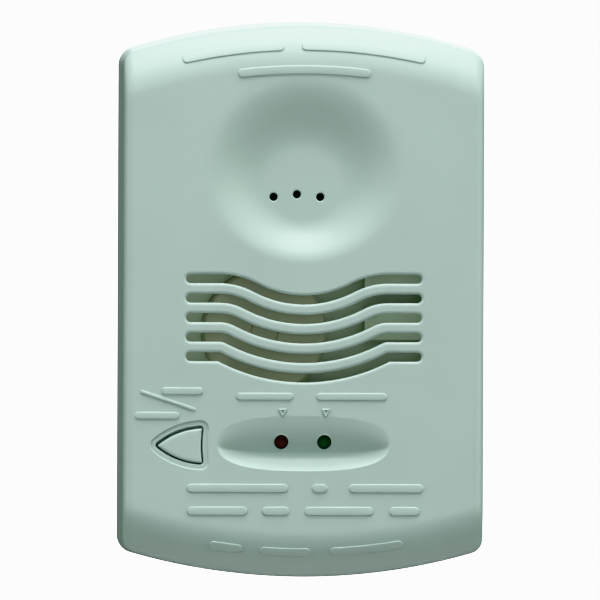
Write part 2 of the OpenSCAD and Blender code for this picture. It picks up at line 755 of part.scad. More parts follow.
// Pressure plates in the wire entries, with the pins that carry them through the board
module terminal_clamps() {
    z0 = terminal_z - terminal_size_z / 2;
    color([0.78, 0.7, 0.5]) for (x = terminal_xs) {
        translate([x - terminal_entry / 2 + 0.15, board_back_y + 1, z0 + 1.2])
            cube([terminal_entry - 0.3, 0.5, terminal_size_z - 3.4]);
        rod(x, terminal_z, board_y - 1, board_back_y + 1.1, pin_r);
    }
}

// ---- Parts on the front of the board ----

module relay(z) {
    y0 = board_y - relay_size[2];
    difference() {
        block(relay_x, z, relay_size[0], relay_size[1], y0, board_y);
        rod(relay_x - relay_size[0] / 2 + 2, z + relay_size[1] / 2 - 1.8, y0 - 1, y0 + 0.3, 0.7);
    }
}
module alarm_relay() {
    color([0.13, 0.13, 0.14]) relay(relay_zs[0]);
}
module trouble_relay() {
    color([0.13, 0.13, 0.14]) relay(relay_zs[1]);
}

capacitor_spots = [[17, -20, 4, 11.5], [26.5, -19, 3.2, 9]]; // X, Z, radius, height
module capacitors() {
    color([0.16, 0.18, 0.3]) for (c = capacitor_spots) turned(c[0], c[1],
        [[0, board_y - c[3] + 0.3], [c[2] - 1.4, board_y - c[3] + 0.3], [c[2] - 1.2, board_y - c[3]],
         [c[2] - 0.5, board_y - c[3]], [c[2], board_y - c[3] + 0.5], [c[2], board_y - 2.2],
         [c[2] - 0.3, board_y - 1.9], [c[2] - 0.3, board_y - 1.5], [c[2], board_y - 1.2], [c[2], board_y],
         [0, board_y]]);
}

coil_pos = [-25.5, 16];
coil_h = 8;
module horn_coil() {
    color([0.2, 0.2, 0.21]) turned(coil_pos[0], coil_pos[1],
        [[0, board_y - coil_h], [4.4, board_y - coil_h], [4.4, board_y - coil_h + 1.2],
         [2.4, board_y - coil_h + 1.2], [2.4, board_y - 1.4], [4.4, board_y - 1.4], [4.4, board_y], [0, board_y]]);
}
module coil_winding() {
    color([0.72, 0.4, 0.2]) turned(coil_pos[0], coil_pos[1],
        [[2.45, board_y - coil_h + 1.25], [4.1, board_y - coil_h + 1.25], [4.1, board_y - 1.45],
         [2.45, board_y - 1.45]]);
}

// A flat package with rows of legs along its two long sides
module leaded_chip(x, z, w, h, t, legs, pitch) {
    block(x, z, w, h, board_y - t, board_y - 0.1);
    for (i = [0:legs - 1], s = [-1, 1])
        block(x + (i - (legs - 1) / 2) * pitch, z + s * (h / 2 + 0.7), 0.45, 1.42, board_y - 0.3, board_y);
}
module microcontroller() {
    color([0.1, 0.1, 0.11]) leaded_chip(7, -44.5, 12.8, 7.5, 2.3, 10, 1.27);
}
module regulator() {
    color([0.1, 0.1, 0.11]) leaded_chip(-14, -44.5, 6.5, 3.6, 1.7, 3, 2.3);
}

// Small resistors and capacitors in two rows beside the chips and one by the relays
chip_rows = [[-14, -38.4, 5, 3.2], [10, -37.6, 6, 3], [14, 14.5, 5, 3.4], [-29, 5, 1, 1]]; // X, Z, count, pitch
module chip_parts() {
    color([0.55, 0.5, 0.42]) for (r = chip_rows, i = [0:r[2] - 1])
        block(r[0] + i * r[3], r[1], 1.2, 2, board_y - 0.6, board_y);
}

// ---- Mounting plate ----

module hook(x, z) {
    translate([x - hook_w / 2, hook_lip_y - hook_lip_t, z - hook_stem_h])
        cube([hook_w, -plate_t - hook_lip_y + hook_lip_t + eps, hook_stem_h]);
    translate([x - hook_w / 2, hook_lip_y - hook_lip_t, z - hook_stem_h])
        cube([hook_w, hook_lip_t, hook_stem_h + hook_lip_h]);
}

module box_slot(z) {
    for (s = [-1, 1]) rod(0, z + s * (box_slot_l - box_slot_w) / 2, -plate_t - 1, 1, box_slot_w / 2);
    block(0, z, box_slot_w, box_slot_l - box_slot_w, -plate_t - 1, 1);
}

module mounting_plate() {
    color([0.76, 0.82, 0.8]) union() {
        difference() {
            outline_slab(plate_inset, -plate_t, 0);
            plate_of(round_rect(-entry_w / 2, entry_w / 2, entry_low_z, entry_high_z, 3), -plate_t - 1, 1);
            for (s = [-1, 1]) box_slot(s * box_pitch / 2);
        }
        both_sides() for (z = hook_zs) hook(hook_x, z);
        plate_of([[-2.5, 24], [2.5, 24], [2.5, 28], [5, 28], [0, 33], [-5, 28], [-2.5, 28]],
                 -plate_t - 0.25, -plate_t + eps);
    }
}

mounting_plate();
front_cover();
rear_housing();
housing_screws();
circuit_board();
board_screws();
cell_base();
cell_can();
cell_cap();
cell_pins();
cell_gasket();
inlet_filter();
horn_shell();
horn_ring();
piezo_plate();
piezo_ceramic();
horn_contacts();
alarm_lamp();
normal_lamp();
lamp_leads();
lamp_spacers();
test_button();
switch_body();
switch_frame();
switch_plunger();
switch_dome();
terminal_block();
terminal_screws();
terminal_clamps();
alarm_relay();
trouble_relay();
capacitors();
horn_coil();
coil_winding();
microcontroller();
regulator();
chip_parts();
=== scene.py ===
"""Finished surfaces for the wall-mounted carbon monoxide detector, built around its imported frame."""

import json
import math
from collections import namedtuple

import bmesh
import bpy
from bpy.props import FloatProperty, FloatVectorProperty, IntProperty, PointerProperty
from bpy.types import Operator, Panel, PropertyGroup
from mathutils import Matrix, Vector


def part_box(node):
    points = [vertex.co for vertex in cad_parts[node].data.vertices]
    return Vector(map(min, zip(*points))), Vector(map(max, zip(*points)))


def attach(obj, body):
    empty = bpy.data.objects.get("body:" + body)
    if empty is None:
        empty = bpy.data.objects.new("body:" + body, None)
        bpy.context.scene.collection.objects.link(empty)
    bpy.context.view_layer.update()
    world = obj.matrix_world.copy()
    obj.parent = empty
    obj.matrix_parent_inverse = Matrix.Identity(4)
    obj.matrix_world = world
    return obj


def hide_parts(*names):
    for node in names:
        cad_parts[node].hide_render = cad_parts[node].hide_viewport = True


bl_info = {
    "name": "Carbon Monoxide Detector",
    "version": (1, 0, 0),
    "blender": (4, 5, 0),
    "location": "View3D > Sidebar > Detector",
    "description": "Builds the finished pieces, materials and stage of a wall-mounted gas detector",
    "category": "Object",
}

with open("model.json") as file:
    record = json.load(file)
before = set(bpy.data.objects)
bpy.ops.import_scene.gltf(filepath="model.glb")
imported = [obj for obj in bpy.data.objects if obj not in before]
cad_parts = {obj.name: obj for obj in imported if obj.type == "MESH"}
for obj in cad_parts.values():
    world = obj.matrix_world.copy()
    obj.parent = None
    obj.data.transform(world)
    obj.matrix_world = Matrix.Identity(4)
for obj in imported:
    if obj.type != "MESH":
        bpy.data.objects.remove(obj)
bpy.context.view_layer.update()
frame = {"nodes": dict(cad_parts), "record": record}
COVER_LOW, COVER_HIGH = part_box("front_cover")
BUTTON_LOW, BUTTON_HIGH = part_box("test_button")
LAMPS = ("alarm_lamp", "normal_lamp")

MM = 0.001
INTO_WALL = Vector((0.0, 1.0, 0.0))
FACE_Y = COVER_LOW[1]
BACK_Y = COVER_HIGH[1]
HALF_W = COVER_HIGH[0]
HALF_H = COVER_HIGH[2]
SMOOTH_ANGLE = math.radians(32)
IN_FRONT = FACE_Y - 1.0 * MM  # where a cutter starts
BEHIND = FACE_Y + 8.0 * MM  # where a cutter that goes through the cover ends


def length(name, default_mm, description):
    """A length property in metres, given in millimetres."""
    return FloatProperty(name=name, description=description, default=default_mm * MM, unit="LENGTH", precision=5)


def colour(name, default, description):
    """A colour property."""
    return FloatVectorProperty(name=name, description=description, default=default, size=3, subtype="COLOR",
                               min=0.0, max=1.0)


class CoverSettings(PropertyGroup):
    """Sizes of the front cover."""

    wall: length("Wall", 2.2, "Thickness of the moulded wall")
    top_arc: length("Top Arc", 132.0, "Radius of the arc along the top edge")
    bottom_arc: length("Bottom Arc", 142.0, "Radius of the arc along the bottom edge")
    corner: length("Corner", 2.3, "Radius of the corners seen from the front")
    side_fillet: length("Side Fillet", 2.3, "Fillet between the face and the side walls")
    rim_fillet: length("Rim Fillet", 1.2, "Fillet between the sloped bands and the end walls")
    taper: length("Taper", 0.6, "How far the walls lean in from the back edge to the face")
    top_run: length("Top Slope Run", 3.3, "Width of the straight part of the top slope")
    top_blend: length("Top Slope Blend", 7.2, "Width over which the top slope fades into the face")
    bottom_run: length("Bottom Slope Run", 4.0, "Width of the straight part of the bottom slope")
    bottom_blend: length("Bottom Slope Blend", 7.2, "Width over which the bottom slope fades into the face")
    slope: FloatProperty(name="Slope", description="Fall of the sloped bands for each unit of width", default=0.65)
    columns: IntProperty(name="Columns", description="Faces across the cover", default=130, min=20)
    rows: IntProperty(name="Rows", description="Faces up the cover", default=196, min=20)


class DishSettings(PropertyGroup):
    """Sizes of the sensor dish and its inlet holes."""

    depth: length("Depth", 3.6, "Depth of the dish")
    rim_half_w: length("Rim Half Width", 23.3, "Half width of the dish at its rim")
    rim_half_h: length("Rim Half Height", 21.7, "Half height of the dish at its rim")
    rim_z: length("Rim Height", 30.8, "Height of the rim's centre")
    floor_half_w: length("Floor Half Width", 8.5, "Half width of the flat floor")
    floor_half_h: length("Floor Half Height", 8.4, "Half height of the flat floor")
    floor_z: length("Floor Height", 26.8, "Height of the floor's centre")
    hole_r: length("Hole Radius", 0.95, "Radius of an inlet hole")
    hole_x: length("Hole Middle", -1.6, "Sideways place of the middle inlet hole")
    hole_z: length("Hole Height", 24.2, "Height of the two outer inlet holes")
    hole_pitch: length("Hole Pitch", 5.42, "Distance between neighbouring inlet holes")
    hole_rise: length("Middle Rise", 0.6, "How much higher the middle hole sits")
    hole_rim: length("Hole Lip", 0.3, "Width of the rounded lip round an inlet hole")


class GrilleSettings(PropertyGroup):
    """Sizes of the wavy sounder slots."""

    count: IntProperty(name="Slots", description="Number of slots", default=5, min=1)
    height: length("Slot Height", 2.1, "Height of a slot")
    half_length: length("Half Length", 27.4, "Half length of a slot with its round ends")
    pitch: length("Pitch", 4.53, "Distance between neighbouring slots")
    low_end_z: length("Lowest Slot", -12.9, "Height of the lowest slot's straight ends")
    shoulder_x: length("Shoulder", 19.7, "Where the straight ends turn down")
    valley_r: length("Valley Radius", 42.05, "Radius of the lowest slot's middle curve")
    turn: FloatProperty(name="Turn", description="Angle that each slot turns at its shoulders",
                        default=math.radians(27.9), subtype="ANGLE")
    rim: length("Lip Width", 0.8, "Width of the rounded lip round a slot")
    rim_depth: length("Lip Depth", 0.42, "Depth of the rounded lip round a slot")


class RecessSettings(PropertyGroup):
    """Sizes of the scooped recess round the lamps."""

    half_w: length("Half Width", 20.0, "Half width of the recess")
    half_h: length("Half Height", 6.35, "Half height of the recess")
    z: length("Height", -33.05, "Height of the recess's centre")
    depth: length("Depth", 3.8, "Depth of the recess's valley")
    valley: FloatProperty(name="Valley", description="Place of the valley, as a share of the height from the top",
                          default=0.66, min=0.1, max=0.9)
    squareness: FloatProperty(name="Squareness", description="Exponent of the outline", default=2.6, min=2.0, max=6.0)
    entry: FloatProperty(name="Entry", description="Share of the upper wall's fall that is even", default=0.35,
                         min=0.0, max=1.0)
    turn_up: FloatProperty(name="Turn Up", description="Exponent of the lower wall", default=2.3, min=1.0)
    end_fade: FloatProperty(name="End Fade", description="Exponent of the depth towards both ends", default=0.85,
                            min=0.1)
    lamp_hole: length("Lamp Hole", 1.7, "Radius of the lamp holes")


class ButtonSettings(PropertyGroup):
    """Sizes of the test button and the step round it."""

    tip_x: length("Tip", -33.6, "Sideways place of the rounded tip's centre")
    base_x: length("Base", -23.95, "Sideways place of the straight end's corner centres")
    z: length("Height", -33.45, "Height of the button's centre line")
    half_h: length("Half Height", 3.75, "Half height between the corner centres")
    corner: length("Corner", 0.75, "Radius of the opening's corners")
    bulge: length("Bulge", 16.5, "Radius of the two long edges")
    hollow: length("Hollow", 30.0, "Radius of the slightly hollow short edge")
    gap: length("Gap", 0.5, "Gap round the button")
    step_w: length("Step Width", 1.4, "Width of the shallow step round the opening")
    step_depth: length("Step Depth", 0.35, "Depth of the shallow step")
    step_rim: length("Step Lip", 0.3, "Width of the rounded lip of the step")
    rim: length("Lip", 0.2, "Width of the rounded lip of the opening")
    flange_w: length("Flange Width", 0.7, "How far the flange reaches past the opening")
    flange: length("Flange Depth", 5.5, "How far the flange lies behind the face")
    flange_t: length("Flange Thickness", 1.2, "Thickness of the flange")
    stem_r: length("Stem Radius", 1.9, "Radius of the stem that meets the switch")
    fillet: length("Fillet", 0.5, "Fillet round the button's face")
    seat_x: length("Seat Sideways", 0.12, "How far to the right the cap sits in its opening")
    seat_z: length("Seat Height", -0.15, "How far up the cap sits in its opening")


class MarkSettings(PropertyGroup):
    """Sizes of the raised marks."""

    height: length("Height", 0.32, "Height of the raised marks")
    bar: length("Bar", 2.0, "Width of the larger bars")
    small_bar: length("Small Bar", 1.7, "Width of the smaller bars")
    fillet: length("Fillet", 0.22, "Fillet along the marks' edges")


class FinishSettings(PropertyGroup):
    """Colours of the finishes."""

    cover: colour("Cover", (0.43, 0.556, 0.533), "Pale grey-green moulded plastic")
    board: colour("Board", (0.40, 0.56, 0.36), "Solder mask on the circuit board")
    sounder: colour("Sounder", (0.15, 0.18, 0.115), "Sounder housing")
    red_lamp: colour("Red Lamp", (0.12, 0.045, 0.045), "Unlit red lamp")
    green_lamp: colour("Green Lamp", (0.03, 0.105, 0.033), "Unlit green lamp")


class StageSettings(PropertyGroup):
    """Camera and light."""

    distance: length("Distance", 6000.0, "Distance from the camera to the face")
    frame_width: length("Frame Width", 139.3, "Width of the view at the face")
    yaw: FloatProperty(name="Yaw", description="How far to the left the camera stands", default=math.radians(2.0),
                       subtype="ANGLE")
    rise: FloatProperty(name="Rise", description="How far above level the camera stands", default=math.radians(1.0),
                        subtype="ANGLE")
    roll: FloatProperty(name="Roll", description="Turn of the camera about its view", default=math.radians(0.22),
                        subtype="ANGLE")
    aim_x: length("Aim Sideways", -0.93, "Sideways place of the point that the camera looks at")
    aim_z: length("Aim Height", 0.35, "Height of the point that the camera looks at")


GROUPS = {
    "cover": CoverSettings,
    "dish": DishSettings,
    "grille": GrilleSettings,
    "recess": RecessSettings,
    "button": ButtonSettings,
    "marks": MarkSettings,
    "finish": FinishSettings,
    "stage": StageSettings,
}


class DetectorSettings(PropertyGroup):
    """Every size and colour that a user would change."""


DetectorSettings.__annotations__ = {name: PointerProperty(type=kind) for name, kind in GROUPS.items()}


def settings():
    """The scene's settings."""
    return bpy.context.scene.detector


def middle(node):
    """The centre (x, z) of a node seen from the front."""
    low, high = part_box(node)
    return (low[0] + high[0]) / 2.0, (low[2] + high[2]) / 2.0


# ---- Making and finishing objects ----


def object_from(bm, name):
    """A new object from a bmesh, which is freed."""
    mesh = bpy.data.meshes.new(name)
    bm.to_mesh(mesh)
    bm.free()
    obj = bpy.data.objects.new(name, mesh)
    bpy.context.scene.collection.objects.link(obj)
    return obj


def close_up(bm):
    """Merges doubles and turns every face outwards."""
    bmesh.ops.remove_doubles(bm, verts=bm.verts, dist=1e-7)
    bmesh.ops.dissolve_degenerate(bm, edges=bm.edges, dist=1e-8)
    bmesh.ops.recalc_face_normals(bm, faces=bm.faces)


def edges_at(verts):
    """The edges at some vertices, each once and always in the same order."""
    return list(dict.fromkeys(edge for vert in verts for edge in vert.link_edges))


def ends_of(edges):
    """The vertices of some edges, each once and always in the same order."""
    return list(dict.fromkeys(vert for edge in edges for vert in edge.verts))


def draw_out(bm, edges):
    """Extrudes edges. Returns the new vertices, which still lie on the old ones, and the new edges."""
    made = bmesh.ops.extrude_edge_only(bm, edges=edges)["geom"]
    return ([part for part in made if isinstance(part, bmesh.types.BMVert)],
            [part for part in made if isinstance(part, bmesh.types.BMEdge)])


def turn(bm, x, z, section, steps=32, closed=False):
    """Turns a section of (distance from the axis, depth) points all the way round an axis through x and z."""
    verts = [bm.verts.new(Vector((x + across, depth, z))) for across, depth in section]
    onward = verts[1:] + verts[:1] if closed else verts[1:]
    edges = [bm.edges.new(pair) for pair in zip(verts, onward)]
    bmesh.ops.spin(bm, geom=verts + edges, cent=(x, 0.0, z), axis=INTO_WALL, angle=2.0 * math.pi, steps=steps,
                   use_merge=True)


def shade(obj):
    """Smooth faces that break at the sharper edges."""
    obj.data.shade_smooth()
    obj.data.set_sharp_from_angle(angle=SMOOTH_ANGLE)


def weigh_normals(obj):
    """Keeps large flat faces flat beside small rounded ones."""
    weighted = obj.modifiers.new("Weighted Normals", "WEIGHTED_NORMAL")
    weighted.keep_sharp = True
    weighted.weight = 80


def solid_volume(mesh):
    """Volume of a closed mesh. An open one raises an error, because a boolean with it goes wrong unseen."""
    bm = bmesh.new()
    bm.from_mesh(mesh)
    torn = sum(1 for edge in bm.edges if len(edge.link_faces) != 2)
    volume = bm.calc_volume(signed=True)
    bm.free()
    if torn:
        raise RuntimeError(f"{mesh.name} is open at {torn} edges")
    return volume


def subtract(obj, cutter):
    """Cuts cutter out of obj for good, and removes cutter."""
    before = solid_volume(obj.data)
    removed = solid_volume(cutter.data)
    cut = obj.modifiers.new("Cut", "BOOLEAN")
    cut.operation = "DIFFERENCE"
    cut.solver = "EXACT"
    cut.object = cutter
    graph = bpy.context.evaluated_depsgraph_get()
    result = bpy.data.meshes.new_from_object(obj.evaluated_get(graph))
    obj.modifiers.remove(cut)
    obj.data = result
    if not 0.0 < before - solid_volume(result) < removed:
        raise RuntimeError(f"cutting {cutter.name} out of {obj.name} went wrong")
    bpy.data.objects.remove(cutter)


def finish_piece(obj, body, slot, nodes=()):
    """Gives a piece its body and its material, and hides the nodes that it stands for."""
    obj.data.materials.clear()
    obj.data.materials.append(finish(slot))
    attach(obj, body)
    if nodes:
        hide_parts(*nodes)


# ---- The cover's surface ----

SIDE_STEPS = 7  # faces round the fillet along the side walls
RIM_STEPS = 5  # faces round the fillet along the curved ends
LEAST_FILLET = 0.3 * MM  # of the inner skin
LEAST_CORNER = 0.5 * MM
WALL_ROWS = (0.012, 0.5, 1.0)  # where the walls are divided, as shares of their depth


def end_drop(inward, run, blend, slope):
    """How far an end band lies below the face, at a distance inward from its curved edge."""
    if inward >= run + blend:
        return 0.0
    if inward >= run:
        return slope * (run + blend - inward) ** 2 / (2.0 * blend)
    return slope * (blend / 2.0 + run - inward)


def fillet_drop(inward, radius):
    """How far a quarter-round fillet lies below the face, at a distance inward from the wall."""
    if inward >= radius:
        return 0.0
    return radius - math.sqrt(max(0.0, radius ** 2 - (radius - inward) ** 2))


def dish_drop(x, z):
    """Depth of the dish: a family of ellipses from its floor out to its rim, on a soft S curve."""
    dish = settings().dish
    low, high = 0.0, 1.0

    def outside(t):
        half_w = dish.floor_half_w + (dish.rim_half_w - dish.floor_half_w) * t
        half_h = dish.floor_half_h + (dish.rim_half_h - dish.floor_half_h) * t
        middle = dish.floor_z + (dish.rim_z - dish.floor_z) * t
        return (x / half_w) ** 2 + ((z - middle) / half_h) ** 2 > 1.0

    if outside(1.0):
        return 0.0
    if not outside(0.0):
        return dish.depth
    for _ in range(22):
        middle = (low + high) / 2.0
        if outside(middle):
            low = middle
        else:
            high = middle
    return dish.depth * (1.0 - low * low * (3.0 - 2.0 * low))


def recess_drop(x, z):
    """Depth of the lamp recess: it rolls down to a valley and turns up steeply to its lower edge."""
    recess = settings().recess
    across = abs(x / recess.half_w)
    if across >= 1.0:
        return 0.0
    power = recess.squareness
    reach = recess.half_h * (1.0 - across ** power) ** (1.0 / power)
    if abs(z - recess.z) >= reach:
        return 0.0
    depth = recess.depth * (1.0 - across ** power) ** recess.end_fade
    down = (recess.z + reach - z) / (2.0 * reach)
    if down <= recess.valley:
        share = down / recess.valley
        return depth * (recess.entry * share + (1.0 - recess.entry) * share ** 3)
    share = (1.0 - down) / (1.0 - recess.valley)
    return depth * (1.0 - (1.0 - share) ** recess.turn_up)


def wall_distance(steps, total, fillet_steps, radius, span):
    """Distance inward of a grid line: finely spaced round the fillet, evenly over the rest."""
    if steps < fillet_steps:
        return radius * (1.0 - math.cos(steps / fillet_steps * math.pi / 2.0))
    return radius + (steps - fillet_steps) / (total - fillet_steps) * (span - radius)


def cover_point(u, v, inset, hollow):
    """Where a grid point (u and v from -1 to 1) lies on the cover's face, at an inset from its outer skin."""
    cover = settings().cover
    taken = inset + cover.taper
    half_w = HALF_W - taken
    side_r = max(cover.side_fillet - inset, LEAST_FILLET)
    rim_r = max(cover.rim_fillet - inset, LEAST_FILLET)
    corner = max(cover.corner - inset, LEAST_CORNER)
    up = v >= 0.0
    arc = cover.top_arc if up else cover.bottom_arc
    centre_z = HALF_H - arc
    radius = arc - taken

    def edge(x):
        return centre_z + math.sqrt(radius * radius - x * x)

    columns, rows = cover.columns / 2.0, cover.rows / 2.0
    from_side = wall_distance((1.0 - abs(u)) * columns, columns, SIDE_STEPS, side_r, half_w)
    x = half_w - from_side
    lean = math.sqrt(radius * radius - x * x) / radius
    from_end = wall_distance((1.0 - abs(v)) * rows, rows, RIM_STEPS, rim_r, edge(x) * lean)
    drop = fillet_drop(from_side, side_r) + fillet_drop(from_end, rim_r)
    if from_side < corner and from_end < corner:
        a, b = 1.0 - from_side / corner, 1.0 - from_end / corner
        most, far = max(a, b), math.hypot(a, b)
        share = math.atan2(b, a) / (math.pi / 2.0) if far > 0.0 else 0.5
        if far > 0.0:
            a, b = a * most / far, b * most / far
        from_side, from_end = corner * (1.0 - a), corner * (1.0 - b)
        drop = fillet_drop(corner * (1.0 - most), side_r + (rim_r - side_r) * share)
        x = half_w - from_side
        lean = math.sqrt(radius * radius - x * x) / radius
    z = edge(x) - from_end / lean
    inward = arc - math.hypot(x, z - centre_z)
    if up:
        drop += end_drop(inward, cover.top_run, cover.top_blend, cover.slope)
    else:
        drop += end_drop(inward, cover.bottom_run, cover.bottom_blend, cover.slope)
    x, z = math.copysign(x, u) if u else 0.0, z if up else -z
    drop += dish_drop(x, z)
    if hollow:
        drop += inset + recess_drop(x, z)
    return Vector((x, FACE_Y + drop, z))


def surface_drop(x, z):
    """Depth of the outer skin below the face plane, away from its fillets."""
    cover = settings().cover
    top = cover.top_arc - math.hypot(x, z - HALF_H + cover.top_arc)
    low = cover.bottom_arc - math.hypot(x, -z - HALF_H + cover.bottom_arc)
    return (end_drop(top, cover.top_run, cover.top_blend, cover.slope)
            + end_drop(low, cover.bottom_run, cover.bottom_blend, cover.slope) + dish_drop(x, z))


def cover_skin(bm, inset, hollow):
    """One skin of the cover: a grid bent over the face, drawn back along the walls. Returns its back edges."""
    cover = settings().cover
    grid = bmesh.ops.create_grid(bm, x_segments=cover.columns, y_segments=cover.rows, size=1.0)
    foot = {}
    for vert in grid["verts"]:
        u, v = vert.co.x, vert.co.y
        vert.co = cover_point(u, v, inset, hollow)
        if max(abs(u), abs(v)) > 1.0 - 1e-6:
            foot[vert] = cover_point(u, v, inset - cover.taper, hollow)
            foot[vert].y = BACK_Y
    ring = [edge for edge in edges_at(foot) if edge.is_boundary]
    for share in WALL_ROWS:
        fresh, ring = draw_out(bm, ring)
        ahead = {}
        for vert in fresh:
            old = next(e.other_vert(vert) for e in vert.link_edges if e.other_vert(vert) in foot)
            ahead[vert] = foot[old]
            vert.co = vert.co.lerp(foot[old], share)
        foot = ahead
    return ring


# ---- Swept grooves and bars ----

LIP_START = math.radians(9.0)  # a lip starts a little way round, so that it leaves the face at an edge


def frame_matrix(point, angle, stretch):
    """Places a section across a path that runs in the face's plane."""
    along = Vector((math.cos(angle), 0.0, math.sin(angle)))
    across = Vector((-math.sin(angle), 0.0, math.cos(angle))) * stretch
    matrix = Matrix.Identity(4)
    for i, axis in enumerate((across, INTO_WALL, along)):
        matrix.col[i][:3] = axis
    matrix.col[3][:3] = Vector((point[0], 0.0, point[1]))
    return matrix


def sweep(bm, path, half_section, cap_steps=10):
    """Sweeps a section, given as points from its axis out and back, along path, and turns it round both ends."""
    angles = [math.atan2(b[1] - a[1], b[0] - a[0]) for a, b in zip(path, path[1:])]
    frames = []
    for i, point in enumerate(path):
        before, after = angles[max(i - 1, 0)], angles[min(i, len(angles) - 1)]
        bend = (after - before + math.pi) % (2.0 * math.pi) - math.pi
        frames.append(frame_matrix(point, before + bend / 2.0, 1.0 / math.cos(bend / 2.0)))
    first = frames[0]
    near = [bm.verts.new(first @ Vector((across, depth, 0.0))) for across, depth in half_section]
    far = [bm.verts.new(first @ Vector((-across, depth, 0.0))) for across, depth in half_section[1:-1]]
    near_edges = [bm.edges.new(pair) for pair in zip(near, near[1:])]
    chain = [near[0]] + far + [near[-1]]
    far_edges = [bm.edges.new(pair) for pair in zip(chain, chain[1:])]
    bmesh.ops.spin(bm, geom=near + near_edges, cent=first.translation, axis=-INTO_WALL, angle=math.pi,
                   steps=cap_steps)
    edges, last = near_edges + far_edges, first
    for step in frames[1:]:
        fresh, edges = draw_out(bm, edges)
        bmesh.ops.transform(bm, matrix=step @ last.inverted(), verts=fresh)
        last = step
    back = last.inverted()
    half = [e for e in edges if all((back @ p.co).x > -1e-6 for p in e.verts)]
    bmesh.ops.spin(bm, geom=ends_of(half) + half, cent=last.translation, axis=INTO_WALL, angle=math.pi,
                   steps=cap_steps)


def arc_points(centre, radius, start, end, steps):
    """Points along an arc in the face's plane."""
    return [(centre[0] + radius * math.cos(start + (end - start) * i / steps),
             centre[1] + radius * math.sin(start + (end - start) * i / steps)) for i in range(steps + 1)]


def mouth_section(half_w, rim, floor, bottom, steps=5, rim_depth=None):
    """Section of a cutter, from its mouth inwards, flared by a rounded lip of width rim where it meets a floor."""
    rim_depth = rim if rim_depth is None else rim_depth
    points = [(half_w + rim, IN_FRONT)]
    for i in range(steps + 1):
        angle = LIP_START + (math.pi / 2.0 - LIP_START) * i / steps
        points.append((half_w + rim - rim * math.sin(angle), floor + rim_depth - rim_depth * math.cos(angle)))
    return points + [(half_w, bottom)]


def capped(section):
    """A section closed at both ends by a point on its axis."""
    return [(0.0, section[0][1]), *section, (0.0, section[-1][1])]


def slot_path(index):
    """Middle line of one wavy slot, counted from the lowest."""
    grille = settings().grille
    rise = grille.pitch * index
    z = grille.low_end_z + rise
    end = grille.half_length - grille.height / 2.0
    valley_z = grille.low_end_z + grille.valley_r * math.cos(grille.turn)
    quarter = math.pi / 2.0
    valley = arc_points((0.0, valley_z), grille.valley_r - rise, -quarter - grille.turn, -quarter + grille.turn, 30)
    if index == 0:
        return [(-end, z), *valley, (end, z)]
    left = arc_points((-grille.shoulder_x, grille.low_end_z), rise, quarter, quarter - grille.turn, 10)
    right = [(-x, height) for x, height in reversed(left)]
    return [(-end, z), *left, *valley[1:-1], *right, (end, z)]


# ---- The button's outline ----


def meeting(first, second, near):
    """The point where two circles (centre, radius) cross, on the side of near."""
    (a, r0), (b, r1) = first, second
    way = b - a
    along = (way.length_squared + r0 * r0 - r1 * r1) / (2.0 * way.length)
    aside = math.sqrt(max(0.0, r0 * r0 - along * along))
    way.normalize()
    foot, out = a + way * along, Vector((-way.y, way.x))
    return min((foot + out * aside, foot - out * aside), key=lambda p: (p - near).length)


def button_arcs(grow):
    """Arcs (centre, radius, start, end) round the button's opening, grown by grow, clockwise from its tip."""
    button = settings().button
    radius = max(button.corner + grow, 0.12 * MM)
    shrink = button.corner + grow - radius
    tip = Vector((button.tip_x, button.z))
    high = Vector((button.base_x, button.z + button.half_h))
    low = Vector((button.base_x, button.z - button.half_h))

    def circle(a, b, bulge):
        """The circle through a and b that bulges to the left of that way, or away from it if bulge is negative."""
        way = (b - a).normalized()
        out = Vector((-way.y, way.x))
        dip = math.sqrt(bulge * bulge - (b - a).length_squared / 4.0)
        sign = math.copysign(1.0, bulge)
        return (a + b) / 2.0 - out * dip * sign, abs(bulge) + shrink * sign

    top, bottom = circle(tip, high, button.bulge), circle(low, tip, button.bulge)
    base = circle(high, low, -button.hollow)
    tip, high, low = meeting(top, bottom, tip), meeting(top, base, high), meeting(base, bottom, low)

    def angle(centre, point):
        return math.atan2((point - centre).y, (point - centre).x)

    def edge(made, a, b, sign):
        centre, size = made
        start, way = angle(centre, a), angle(centre, b) - angle(centre, a)
        return centre, size + radius * sign, start, start + (way + math.pi) % (2.0 * math.pi) - math.pi

    def corner(point, start, end):
        return point, radius, start, start - (start - end) % (2.0 * math.pi)

    return [edge(top, tip, high, 1.0), corner(high, angle(top[0], high), angle(base[0], high) + math.pi),
            edge(base, high, low, -1.0), corner(low, angle(base[0], low) + math.pi, angle(bottom[0], low)),
            edge(bottom, low, tip, 1.0), corner(tip, angle(bottom[0], tip), angle(top[0], tip))]


def button_ring(bm, grow):
    """A ring of edges along the button's outline, with the same steps on every ring."""
    outline = []
    for (centre, radius, start, end), steps in zip(button_arcs(grow), (30, 9, 20, 9, 30, 9)):
        outline += [(centre.x + radius * math.cos(start + (end - start) * i / steps),
                     centre.y + radius * math.sin(start + (end - start) * i / steps)) for i in range(steps)]
    made = bmesh.ops.create_circle(bm, cap_ends=False, radius=1.0, segments=len(outline))["verts"]
    made.sort(key=lambda v: math.atan2(v.co.y, v.co.x))
    for vert, (x, z) in zip(made, outline):
        vert.co = Vector((x, 0.0, z))
    return made


def bridge_apart(bm, rings):
    """Bridges rings in order while they stand well apart, because rings in one plane can be joined with a twist."""
    homes = [[vert.co.copy() for vert in ring] for ring in rings]
    edges = []
    for i, ring in enumerate(rings):
        members = set(ring)
        edges.append([edge for edge in edges_at(ring) if members.issuperset(edge.verts)])
        for vert in ring:
            vert.co.y = i * 0.05
    for low, high in zip(edges, edges[1:]):
        bmesh.ops.bridge_loops(bm, edges=low + high)
    for ring, home in zip(rings, homes):
        for vert, place in zip(ring, home):
            vert.co = place
    return edges


